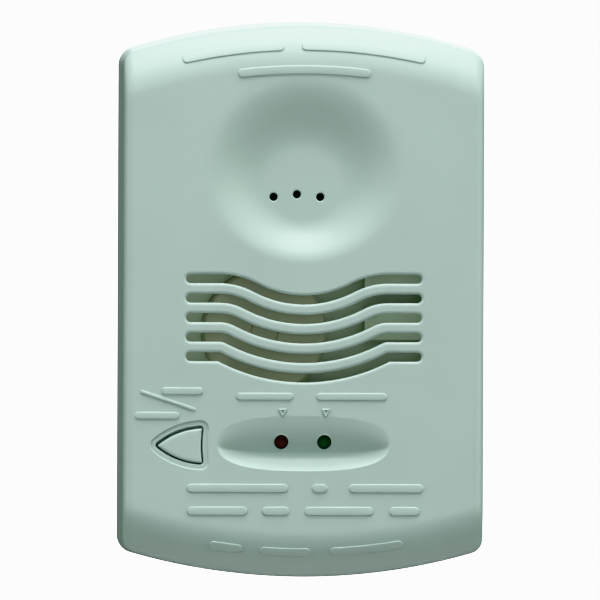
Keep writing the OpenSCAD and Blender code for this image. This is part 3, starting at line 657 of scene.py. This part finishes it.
def stack_rings(bm, levels):
    """Joins outline rings at (grow, depth) levels into a closed solid."""
    rings = []
    for grow, depth in levels:
        rings.append(button_ring(bm, grow))
        for vert in rings[-1]:
            vert.co.y = depth
    edges = bridge_apart(bm, rings)
    bmesh.ops.holes_fill(bm, edges=edges[0])
    bmesh.ops.holes_fill(bm, edges=edges[-1])


# ---- Operators ----

SCOOP_RINGS = 26


class DETECTOR_OT_cover(Operator):
    """Build the front cover with its dish, slots, recess and openings"""

    bl_idname = "detector.cover"
    bl_label = "Front Cover"

    def execute(self, context):
        config = settings()
        bm = bmesh.new()
        rims = [cover_skin(bm, 0.0, hollow=False), cover_skin(bm, config.cover.wall, hollow=True)]
        bridge_apart(bm, [ends_of(rim) for rim in rims])
        close_up(bm)
        cover = object_from(bm, "front_cover_moulding")
        subtract(cover, self.mouths())
        subtract(cover, self.through_holes())
        shade(cover)
        weigh_normals(cover)
        finish_piece(cover, "head", "cover_plastic", ["front_cover"])
        return {"FINISHED"}

    def mouths(self):
        """The slots, inlet holes, lamp recess and the button's step, as one cutter."""
        config = settings()
        grille, dish, button = config.grille, config.dish, config.button
        bm = bmesh.new()
        section = mouth_section(grille.height / 2.0, grille.rim, FACE_Y, BEHIND, steps=8, rim_depth=grille.rim_depth)
        for index in range(grille.count):
            sweep(bm, slot_path(index), capped(section))
        hole = mouth_section(dish.hole_r, dish.hole_rim, FACE_Y + dish.depth, BEHIND)
        for index in (-1, 0, 1):
            z = dish.hole_z + (dish.hole_rise if index == 0 else 0.0)
            turn(bm, dish.hole_x + index * dish.hole_pitch, z, capped(hole))
        self.scoop(bm)
        stack_rings(bm, mouth_section(button.step_w - button.step_rim, button.step_rim, FACE_Y,
                                      FACE_Y + button.step_depth))
        close_up(bm)
        return object_from(bm, "mouth_cutter")

    def scoop(self, bm):
        """The recess cutter: a disc of rings pressed to the recess's depth, drawn out past the face."""
        recess = settings().recess
        shares = [i / SCOOP_RINGS for i in range(SCOOP_RINGS)] + [1.0 - 0.35 / SCOOP_RINGS, 1.0 + 0.35 / SCOOP_RINGS]
        others = set(bm.verts)
        turn(bm, 0.0, 0.0, [(share, 0.0) for share in shares], steps=144)
        bmesh.ops.remove_doubles(bm, verts=[vert for vert in bm.verts if vert not in others], dist=1e-6)
        disc = [vert for vert in bm.verts if vert not in others]
        power = 2.0 / recess.squareness
        for vert in disc:
            share = math.hypot(vert.co.x, vert.co.z)
            angle = math.atan2(vert.co.z, vert.co.x)

            def at(radius):
                x = math.copysign(abs(math.cos(angle)) ** power, math.cos(angle)) * recess.half_w * radius
                z = math.copysign(abs(math.sin(angle)) ** power, math.sin(angle)) * recess.half_h * radius
                return x, z + recess.z

            x, z = at(share)
            drop = recess_drop(x, z) if share <= 1.0 else -recess_drop(*at(2.0 - share)) - 0.01 * MM
            vert.co = Vector((x, FACE_Y + drop, z))
        fresh, edges = draw_out(bm, [edge for edge in edges_at(disc) if edge.is_boundary])
        for vert in fresh:
            vert.co.y = IN_FRONT
        bmesh.ops.holes_fill(bm, edges=edges)

    def through_holes(self):
        """The lamp holes and the button's opening, as one cutter."""
        config = settings()
        button, hole = config.button, config.recess.lamp_hole
        bm = bmesh.new()
        stack_rings(bm, mouth_section(0.0, button.rim, FACE_Y + button.step_depth, BEHIND))
        for lamp in LAMPS:
            turn(bm, *middle(lamp), capped([(hole, IN_FRONT), (hole, BEHIND)]))
        close_up(bm)
        return object_from(bm, "hole_cutter")


class DETECTOR_OT_marks(Operator):
    """Build the raised bars, pointers and stroke on the cover"""

    bl_idname = "detector.marks"
    bl_label = "Raised Marks"

    # left end, right end and height of each straight bar, in millimetres, and whether it is a small one
    STRAIGHT = (
        (-33.0, -23.4, -20.9, True), (-39.2, -28.9, -26.6, True),
        (-15.6, -2.4, -22.1, True), (3.0, 19.3, -22.1, True),
        (-27.0, -3.6, -43.4, False), (2.0, 5.6, -43.4, False), (10.6, 27.9, -43.4, False),
        (-27.0, -13.0, -48.7, False), (-9.5, -3.3, -48.7, False), (0.3, 16.3, -48.7, False),
        (20.0, 27.0, -48.7, False))
    # left end, right end and depth in from the curved edge of each bar that follows an end
    TOP = ((-28.4, -4.7, 5.4), (-0.7, 28.1, 5.4), (-15.5, 15.3, 10.9))
    BOTTOM = ((-21.8, -14.1, 6.4), (-10.0, 1.8, 6.4), (6.3, 23.2, 6.4))
    # ends of the slanted stroke, and the sideways places of the pointers over the lamps
    STROKE = ((-37.5, -21.1), (-25.5, -25.1))
    POINTERS = (-4.85, 5.2)

    def execute(self, context):
        config = settings()
        marks, cover = config.marks, config.cover
        bm = bmesh.new()
        for left, right, z, small in self.STRAIGHT:
            half = (marks.small_bar if small else marks.bar) / 2.0
            path = [(left * MM + half, z * MM), (right * MM - half, z * MM)]
            self.bar(bm, path, half)
        for ends, arc, sign in ((self.TOP, cover.top_arc, 1.0), (self.BOTTOM, cover.bottom_arc, -1.0)):
            for left, right, depth in ends:
                half, radius = marks.bar / 2.0, arc - depth * MM
                start, end = (math.asin((side * MM + half * turn) / radius) for side, turn in ((left, 1), (right, -1)))
                angles = [start + (end - start) * i / 16 for i in range(17)]
                self.bar(bm, [(radius * math.sin(angle), sign * (HALF_H - arc + radius * math.cos(angle)))
                              for angle in angles], half)
        self.bar(bm, [(x * MM, z * MM) for x, z in self.STROKE], 0.4 * MM)
        for x in self.POINTERS:
            self.pointer(bm, x * MM)
        for lamp in LAMPS:
            self.collar(bm, *middle(lamp))
        for vert in bm.verts:
            vert.co.y += surface_drop(vert.co.x, vert.co.z) + recess_drop(vert.co.x, vert.co.z)
        close_up(bm)
        obj = object_from(bm, "raised_marks")
        shade(obj)
        finish_piece(obj, "head", "cover_plastic")
        return {"FINISHED"}

    def bar(self, bm, path, half):
        """One bar with rounded ends and filleted edges, sunk a little into the face."""
        marks = settings().marks
        top, fillet = FACE_Y - marks.height, min(marks.fillet, half * 0.9)
        section = [(0.0, top), (half - fillet, top)]
        for i in range(1, 5):
            angle = math.pi / 2.0 * i / 4
            section.append((half - fillet + fillet * math.sin(angle), top + fillet - fillet * math.cos(angle)))
        section += [(half, FACE_Y + 0.4 * MM), (0.0, FACE_Y + 0.4 * MM)]
        if len(path) == 2:
            (x0, z0), (x1, z1) = path
            path = [(x0 + (x1 - x0) * i / 8, z0 + (z1 - z0) * i / 8) for i in range(9)]
        sweep(bm, path, section, cap_steps=8)

    def collar(self, bm, x, z):
        """A thin raised lip round a lamp hole."""
        inner = settings().recess.lamp_hole - 0.02 * MM
        section = [(inner, FACE_Y + 0.3 * MM), (inner, FACE_Y - 0.04 * MM), (inner + 0.08 * MM, FACE_Y - 0.12 * MM),
                   (inner + 0.2 * MM, FACE_Y - 0.12 * MM), (inner + 0.3 * MM, FACE_Y - 0.03 * MM),
                   (inner + 0.3 * MM, FACE_Y + 0.3 * MM)]
        turn(bm, x, z, section, steps=40, closed=True)

    def pointer(self, bm, x):
        """A small outlined triangle that points down at a lamp, as three strokes."""
        z, half_w, half_h = -25.85 * MM, 0.78 * MM, 0.72 * MM
        corners = [(x - half_w, z + half_h), (x + half_w, z + half_h), (x, z - half_h)]
        for a, b in zip(corners, corners[1:] + corners[:1]):
            self.bar(bm, [a, b], 0.22 * MM)


class DETECTOR_OT_button(Operator):
    """Build the test button with its flange and stem"""

    bl_idname = "detector.button"
    bl_label = "Test Button"

    def execute(self, context):
        button = settings().button
        front, back, grow, r = BUTTON_LOW[1], BUTTON_HIGH[1], -button.gap, button.fillet
        levels = [(grow - r - 0.6 * MM, front), (grow - r, front + 0.03 * MM)]
        for i in range(1, 6):
            angle = math.pi / 2.0 * i / 5
            levels.append((grow - r + r * math.sin(angle), front + 0.03 * MM + r - r * math.cos(angle)))
        flange, end = FACE_Y + button.flange, FACE_Y + button.flange + button.flange_t
        levels += [(grow, flange), (button.flange_w, flange), (button.flange_w, end), (grow, end)]
        bm = bmesh.new()
        stack_rings(bm, levels)
        stem, root, bevel = button.stem_r, (flange + end) / 2.0, 0.3 * MM
        turn(bm, *middle("switch_plunger"), capped([(stem, root), (stem, back - bevel), (stem - bevel, back)]))
        bmesh.ops.translate(bm, verts=bm.verts, vec=(button.seat_x, 0.0, button.seat_z))
        close_up(bm)
        obj = object_from(bm, "test_button_cap")
        shade(obj)
        weigh_normals(obj)
        finish_piece(obj, "button", "button_plastic", ["test_button"])
        return {"FINISHED"}


class DETECTOR_OT_softened(Operator):
    """Round the edges of the parts behind the cover"""

    bl_idname = "detector.softened"
    bl_label = "Plate, Housing and Inner Parts"

    # node: (bevel in millimetres, material slot)
    PARTS = {
        "mounting_plate": (0.35, "plate_plastic"), "rear_housing": (0.25, "plate_plastic"),
        "terminal_block": (0.12, "terminal_plastic"), "terminal_screws": (0.08, "screw_steel"),
        "housing_screws": (0.12, "screw_steel"), "board_screws": (0.12, "screw_steel"),
        "terminal_clamps": (0.05, "pin_brass"), "horn_shell": (0.12, "horn_plastic"),
        "horn_ring": (0.1, "horn_plastic"), "alarm_relay": (0.3, "relay_plastic"),
        "trouble_relay": (0.3, "relay_plastic"), "capacitors": (0.0, "capacitor_sleeve"),
        "cell_can": (0.0, "cell_steel"), "cell_cap": (0.1, "cap_plastic"), "circuit_board": (0.0, "board_laminate"),
        "alarm_lamp": (0.0, "red_lens"), "normal_lamp": (0.0, "green_lens"), "piezo_plate": (0.0, "piezo_brass")}

    def execute(self, context):
        for node, (width, slot) in self.PARTS.items():
            bm = bmesh.new()
            bm.from_mesh(frame["nodes"][node].data)
            bmesh.ops.remove_doubles(bm, verts=bm.verts, dist=1e-6)
            bmesh.ops.dissolve_limit(bm, angle_limit=math.radians(0.6), verts=bm.verts, edges=bm.edges)
            obj = object_from(bm, node + "_finished")
            shade(obj)
            if width:
                bevel = obj.modifiers.new("Edges", "BEVEL")
                bevel.width = width * MM
                bevel.segments = 2
                bevel.limit_method = "ANGLE"
                bevel.angle_limit = math.radians(40.0)
                bevel.harden_normals = True
            body = next(b for b, nodes in frame["record"]["behaviour"]["bodies"].items() if node in nodes)
            finish_piece(obj, body, slot, [node])
        return {"FINISHED"}


class DETECTOR_OT_cloth(Operator):
    """Close the sounder's port with a dust cloth"""

    bl_idname = "detector.cloth"
    bl_label = "Sounder Cloth"

    def execute(self, context):
        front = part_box("horn_shell")[0][1]
        back, radius = front + 0.6 * MM, 3.15 * MM
        section = [(0.0, front + 0.05 * MM), (2.2 * MM, front + 0.08 * MM), (radius, front + 0.2 * MM),
                   (radius, back), (0.0, back)]
        bm = bmesh.new()
        turn(bm, *middle("horn_shell"), section, steps=48)
        close_up(bm)
        cloth = object_from(bm, "sounder_cloth")
        shade(cloth)
        finish_piece(cloth, "head", "horn_plastic")
        return {"FINISHED"}


class DETECTOR_OT_finishes(Operator):
    """Give the remaining inner parts their materials"""

    bl_idname = "detector.finishes"
    bl_label = "Inner Finishes"

    def execute(self, context):
        slots = {part["node"]: part["material_slot"] for part in frame["record"]["subparts"]}
        for node, obj in frame["nodes"].items():
            if not obj.hide_render:
                for holder in obj.material_slots:
                    holder.material = finish(slots[node])
        return {"FINISHED"}


class DETECTOR_OT_stage(Operator):
    """Set up the floor, lights and camera"""

    bl_idname = "detector.stage"
    bl_label = "Stage"

    # name: (place in metres, width, height, power in watts, tint)
    SOFTBOXES = {
        "overhead": ((0.1, -0.75, 1.45), 0.8, 0.4, 17.2, (1.0, 0.98, 0.97)),
        "high_back": ((0.1, -0.25, 1.6), 1.0, 0.5, 25.6, (1.0, 0.93, 0.94)),
        "front": ((0.0, -2.0, 0.3), 1.0, 1.0, 6.2, (0.97, 0.92, 1.0)),
        "right": ((1.5, -0.8, 0.2), 0.7, 1.0, 13.9, (0.92, 1.0, 0.86)),
        "left": ((-1.5, -0.8, 0.2), 0.7, 1.0, 12.6, (0.92, 1.0, 0.87)),
        "wall_side": ((0.3, 1.5, 1.0), 1.2, 1.0, 22.0, (1.0, 1.0, 1.0))}
    # name: (sideways place and width in millimetres, power in watts)
    GLOWS = {"case_glow": (0.0, 64.0, 0.0028), "case_glow_left": (-26.0, 12.0, 0.002)}
    FLOOR_R, FLOOR_Z = 0.4, -0.75
    SEEN, LIGHT = 3.0, 0.03  # strength of the surroundings to the camera, and as a light

    def execute(self, context):
        scene = context.scene
        scene.view_settings.view_transform = "Khronos PBR Neutral"
        scene.view_settings.look = "None"
        self.world(scene)
        self.floor()
        self.camera(scene)
        for name, (place, width, height, power, tint) in self.SOFTBOXES.items():
            lamp = self.area_light(name, width, height, power)
            lamp.data.color = tint
            lamp.location = place
            lamp.rotation_euler = (Vector((0.0, FACE_Y, 0.0)) - Vector(place)).to_track_quat("-Z", "Y").to_euler()
        self.case_glow()
        return {"FINISHED"}

    def world(self, scene):
        """White to the camera, dimmer as a light."""
        world = bpy.data.worlds.new("pale_room")
        world.use_nodes = True
        tree = world.node_tree
        tree.nodes.clear()
        output, mix, path = (add_node(tree, kind) for kind in ("OutputWorld", "MixShader", "LightPath"))
        seen = add_node(tree, "Background", Color=(1.0, 1.0, 1.0, 1.0), Strength=self.SEEN)
        light = add_node(tree, "Background", Color=(0.9, 1.0, 0.9, 1.0), Strength=self.LIGHT)
        join(tree, (path.outputs["Is Camera Ray"], mix.inputs["Fac"]), (light.outputs[0], mix.inputs[1]),
             (seen.outputs[0], mix.inputs[2]), (mix.outputs[0], output.inputs["Surface"]))
        scene.world = world

    def floor(self):
        """A pale floor well below the detector, which hangs on a wall in use."""
        bm = bmesh.new()
        bmesh.ops.create_circle(bm, cap_ends=True, radius=self.FLOOR_R, segments=96)
        bmesh.ops.translate(bm, verts=bm.verts, vec=(0.0, 0.0, self.FLOOR_Z))
        floor = object_from(bm, "floor")
        material = bpy.data.materials.new("pale_floor")
        material.use_nodes = True
        set_sockets(material.node_tree.nodes["Principled BSDF"], Base_Color=(0.88, 0.88, 0.87, 1.0), Roughness=0.7)
        floor.data.materials.append(material)

    def camera(self, scene):
        """A long lens, a little to the left of the face and above it."""
        stage = settings().stage
        data = bpy.data.cameras.new("camera")
        data.type = "PERSP"
        data.sensor_width = 36.0
        data.lens = 36.0 * stage.distance / stage.frame_width
        data.clip_start, data.clip_end = 0.05, 20.0
        camera = bpy.data.objects.new("camera", data)
        scene.collection.objects.link(camera)
        scene.camera = camera
        target = Vector((stage.aim_x, FACE_Y, stage.aim_z))
        away = Vector((-math.sin(stage.yaw), -math.cos(stage.yaw) * math.cos(stage.rise), math.sin(stage.rise)))
        camera.location = target + away * stage.distance
        aim = (target - camera.location).to_track_quat("-Z", "Y").to_matrix().to_4x4()
        camera.matrix_world = Matrix.Translation(camera.location) @ aim @ Matrix.Rotation(stage.roll, 4, "Z")

    def case_glow(self):
        """Weak lights just behind the cover, for the daylight that its thin plastic lets into the case."""
        for name, (x, width, power) in self.GLOWS.items():
            glow = self.area_light(name, width * MM, 34.0 * MM, power)
            glow.visible_camera = False
            glow.location = (x * MM, FACE_Y + 2.5 * MM, -6.0 * MM)
            glow.rotation_euler = INTO_WALL.to_track_quat("-Z", "Z").to_euler()

    def area_light(self, name, width, height, power):
        """A rectangular soft light."""
        data = bpy.data.lights.new(name, "AREA")
        data.shape = "RECTANGLE"
        data.size, data.size_y, data.energy = width, height, power
        lamp = bpy.data.objects.new(name, data)
        bpy.context.scene.collection.objects.link(lamp)
        return lamp


# ---- Finishes ----


def set_sockets(node, **values):
    """Gives a node's sockets their values. An underscore stands for a space in a socket's name."""
    for name, value in values.items():
        node.inputs[name.replace("_", " ")].default_value = value


def add_node(tree, kind, **values):
    """A new shader node with the given socket values."""
    node = tree.nodes.new("ShaderNode" + kind)
    set_sockets(node, **values)
    return node


def join(tree, *pairs):
    """Links each pair of an output and an input."""
    for source, target in pairs:
        tree.links.new(source, target)


def grain_group():
    """Fine moulded grain: colour drift, roughness drift and a height, shared by the plastics and metals."""
    made = bpy.data.node_groups.get("surface_grain")
    if made:
        return made
    group = bpy.data.node_groups.new("surface_grain", "ShaderNodeTree")
    for name, kind, default in (
            ("Colour", "Color", (0.5, 0.5, 0.5, 1.0)), ("Drift", "Float", 0.06), ("Roughness", "Float", 0.45),
            ("Rough Drift", "Float", 0.08), ("Grain Scale", "Float", 2600.0), ("Stretch", "Vector", (1.0, 1.0, 1.0))):
        socket = group.interface.new_socket(name, in_out="INPUT", socket_type="NodeSocket" + kind)
        socket.default_value = default
    for name, kind in (("Colour", "Color"), ("Roughness", "Float"), ("Height", "Float")):
        group.interface.new_socket(name, in_out="OUTPUT", socket_type="NodeSocket" + kind)
    given, out = group.nodes.new("NodeGroupInput"), group.nodes.new("NodeGroupOutput")
    place, mapping = add_node(group, "TexCoord"), add_node(group, "Mapping")
    fine, broad = add_node(group, "TexNoise", Detail=3.0), add_node(group, "TexNoise", Detail=4.0, Scale=55.0)
    join(group, (place.outputs["Object"], mapping.inputs["Vector"]),
         (given.outputs["Stretch"], mapping.inputs["Scale"]),
         (mapping.outputs["Vector"], fine.inputs["Vector"]), (mapping.outputs["Vector"], broad.inputs["Vector"]),
         (given.outputs["Grain Scale"], fine.inputs["Scale"]))

    def maths(operation, *values):
        node = add_node(group, "Math")
        node.operation = operation
        for socket, value in zip(node.inputs, values):
            if isinstance(value, float):
                socket.default_value = value
            else:
                group.links.new(value, socket)
        return node.outputs[0]

    drift = maths("SUBTRACT", broad.outputs["Fac"], 0.5)
    wear = maths("SUBTRACT", fine.outputs["Fac"], 0.5)
    tint = add_node(group, "VectorMath")
    tint.operation = "SCALE"
    join(group, (given.outputs["Colour"], tint.inputs[0]),
         (maths("MULTIPLY_ADD", drift, given.outputs["Drift"], 1.0), tint.inputs["Scale"]),
         (tint.outputs["Vector"], out.inputs["Colour"]),
         (maths("MULTIPLY_ADD", wear, given.outputs["Rough Drift"], given.outputs["Roughness"]),
          out.inputs["Roughness"]),
         (maths("MULTIPLY_ADD", broad.outputs["Fac"], 0.4, fine.outputs["Fac"]), out.inputs["Height"]))
    return group


# base: a colour, or the name of a setting; drift: how far the colour wanders; bump: height of the grain in mm
Recipe = namedtuple("Recipe", "base roughness drift bump scale metallic stretch coat", defaults=(0.0, (1, 1, 1), 0.0))
RECIPES = {
    "cover_plastic": Recipe("cover", 0.42, 0.05, 0.012, 2600.0),
    "button_plastic": Recipe("cover", 0.36, 0.04, 0.008, 2600.0),
    "plate_plastic": Recipe("cover", 0.5, 0.06, 0.015, 2200.0),
    "screw_steel": Recipe((0.62, 0.62, 0.63), 0.34, 0.1, 0.01, 3000.0, metallic=1.0),
    "board_laminate": Recipe("board", 0.38, 0.2, 0.01, 900.0, coat=0.2),
    "black_plastic": Recipe((0.02, 0.02, 0.022), 0.45, 0.1, 0.01, 2600.0),
    "cell_steel": Recipe((0.6, 0.6, 0.61), 0.3, 0.08, 0.006, 900.0, metallic=1.0, stretch=(1, 8, 1)),
    "cap_plastic": Recipe((0.55, 0.52, 0.42), 0.45, 0.08, 0.01, 2600.0),
    "pin_brass": Recipe((0.8, 0.6, 0.26), 0.28, 0.1, 0.005, 3000.0, metallic=1.0),
    "gasket_rubber": Recipe((0.02, 0.02, 0.021), 0.8, 0.15, 0.02, 1800.0),
    "filter_membrane": Recipe((0.03, 0.036, 0.034), 0.9, 0.1, 0.03, 3500.0),
    "horn_plastic": Recipe("sounder", 0.5, 0.15, 0.015, 2000.0),
    "piezo_brass": Recipe((0.68, 0.5, 0.2), 0.3, 0.12, 0.005, 1500.0, metallic=1.0, stretch=(1, 1, 6)),
    "piezo_disc": Recipe((0.7, 0.68, 0.62), 0.5, 0.08, 0.01, 2600.0),
    "red_lens": Recipe("red_lamp", 0.45, 0.2, 0.01, 2200.0),
    "green_lens": Recipe("green_lamp", 0.45, 0.2, 0.01, 2200.0),
    "lead_steel": Recipe((0.7, 0.7, 0.69), 0.25, 0.08, 0.004, 3000.0, metallic=1.0),
    "white_plastic": Recipe((0.7, 0.7, 0.68), 0.5, 0.06, 0.01, 2600.0),
    "terminal_plastic": Recipe((0.02, 0.16, 0.06), 0.42, 0.1, 0.012, 2400.0),
    "relay_plastic": Recipe((0.33, 0.45, 0.31), 0.4, 0.12, 0.012, 2400.0),
    "capacitor_sleeve": Recipe((0.17, 0.24, 0.17), 0.28, 0.1, 0.006, 2600.0, coat=0.4),
    "ferrite": Recipe((0.03, 0.03, 0.032), 0.6, 0.15, 0.02, 1600.0),
    "winding_enamel": Recipe((0.42, 0.16, 0.05), 0.3, 0.2, 0.06, 2200.0, 0.6, (0.1, 3, 0.1), 0.3),
    "chip_plastic": Recipe((0.018, 0.018, 0.02), 0.55, 0.12, 0.012, 2600.0),
    "chip_ceramic": Recipe((0.28, 0.22, 0.15), 0.5, 0.15, 0.012, 2600.0),
}


def finish(slot):
    """The material of one of the record's slots, made once."""
    made = bpy.data.materials.get("finish_" + slot)
    if made:
        return made
    recipe = RECIPES[slot]
    base = getattr(settings().finish, recipe.base) if isinstance(recipe.base, str) else recipe.base
    material = bpy.data.materials.new("finish_" + slot)
    material.use_nodes = True
    tree = material.node_tree
    shader = tree.nodes["Principled BSDF"]
    grain = add_node(tree, "Group")
    grain.node_tree = grain_group()
    set_sockets(shader, Metallic=recipe.metallic, Coat_Weight=recipe.coat, Coat_Roughness=0.08, IOR=1.47)
    set_sockets(grain, Colour=(*base, 1.0), Drift=recipe.drift * 2.0, Roughness=recipe.roughness, Rough_Drift=0.12,
                Grain_Scale=recipe.scale, Stretch=recipe.stretch)
    bump = add_node(tree, "Bump", Distance=recipe.bump * MM, Strength=1.0)
    join(tree, (grain.outputs["Colour"], shader.inputs["Base Color"]),
         (grain.outputs["Roughness"], shader.inputs["Roughness"]), (grain.outputs["Height"], bump.inputs["Height"]),
         (bump.outputs["Normal"], shader.inputs["Normal"]))
    return material


class VIEW3D_PT_detector(Panel):
    """Lists the steps that build the detector"""

    bl_label = "Detector"
    bl_idname = "VIEW3D_PT_detector"
    bl_space_type = "VIEW_3D"
    bl_region_type = "UI"
    bl_category = "Detector"

    def draw(self, context):
        for step in STEPS:
            self.layout.operator(step.bl_idname)
        for name in GROUPS:
            group = getattr(context.scene.detector, name)
            box = self.layout.box()
            box.label(text=name.title())
            for prop in GROUPS[name].__annotations__:
                box.prop(group, prop)


STEPS = (DETECTOR_OT_cover, DETECTOR_OT_marks, DETECTOR_OT_button, DETECTOR_OT_softened, DETECTOR_OT_cloth,
         DETECTOR_OT_finishes, DETECTOR_OT_stage)
CLASSES = (*GROUPS.values(), DetectorSettings, *STEPS, VIEW3D_PT_detector)


def register():
    """Registers the settings, operators and panel."""
    for kind in CLASSES:
        bpy.utils.register_class(kind)
    bpy.types.Scene.detector = PointerProperty(type=DetectorSettings)


def unregister():
    """Removes the settings, operators and panel."""
    del bpy.types.Scene.detector
    for kind in reversed(CLASSES):
        bpy.utils.unregister_class(kind)


def main():
    """Builds everything."""
    register()
    bpy.ops.detector.cover()
    bpy.ops.detector.marks()
    bpy.ops.detector.button()
    bpy.ops.detector.softened()
    bpy.ops.detector.cloth()
    bpy.ops.detector.finishes()
    bpy.ops.detector.stage()
    bpy.context.view_layer.update()


if __name__ == "__main__":
    main()
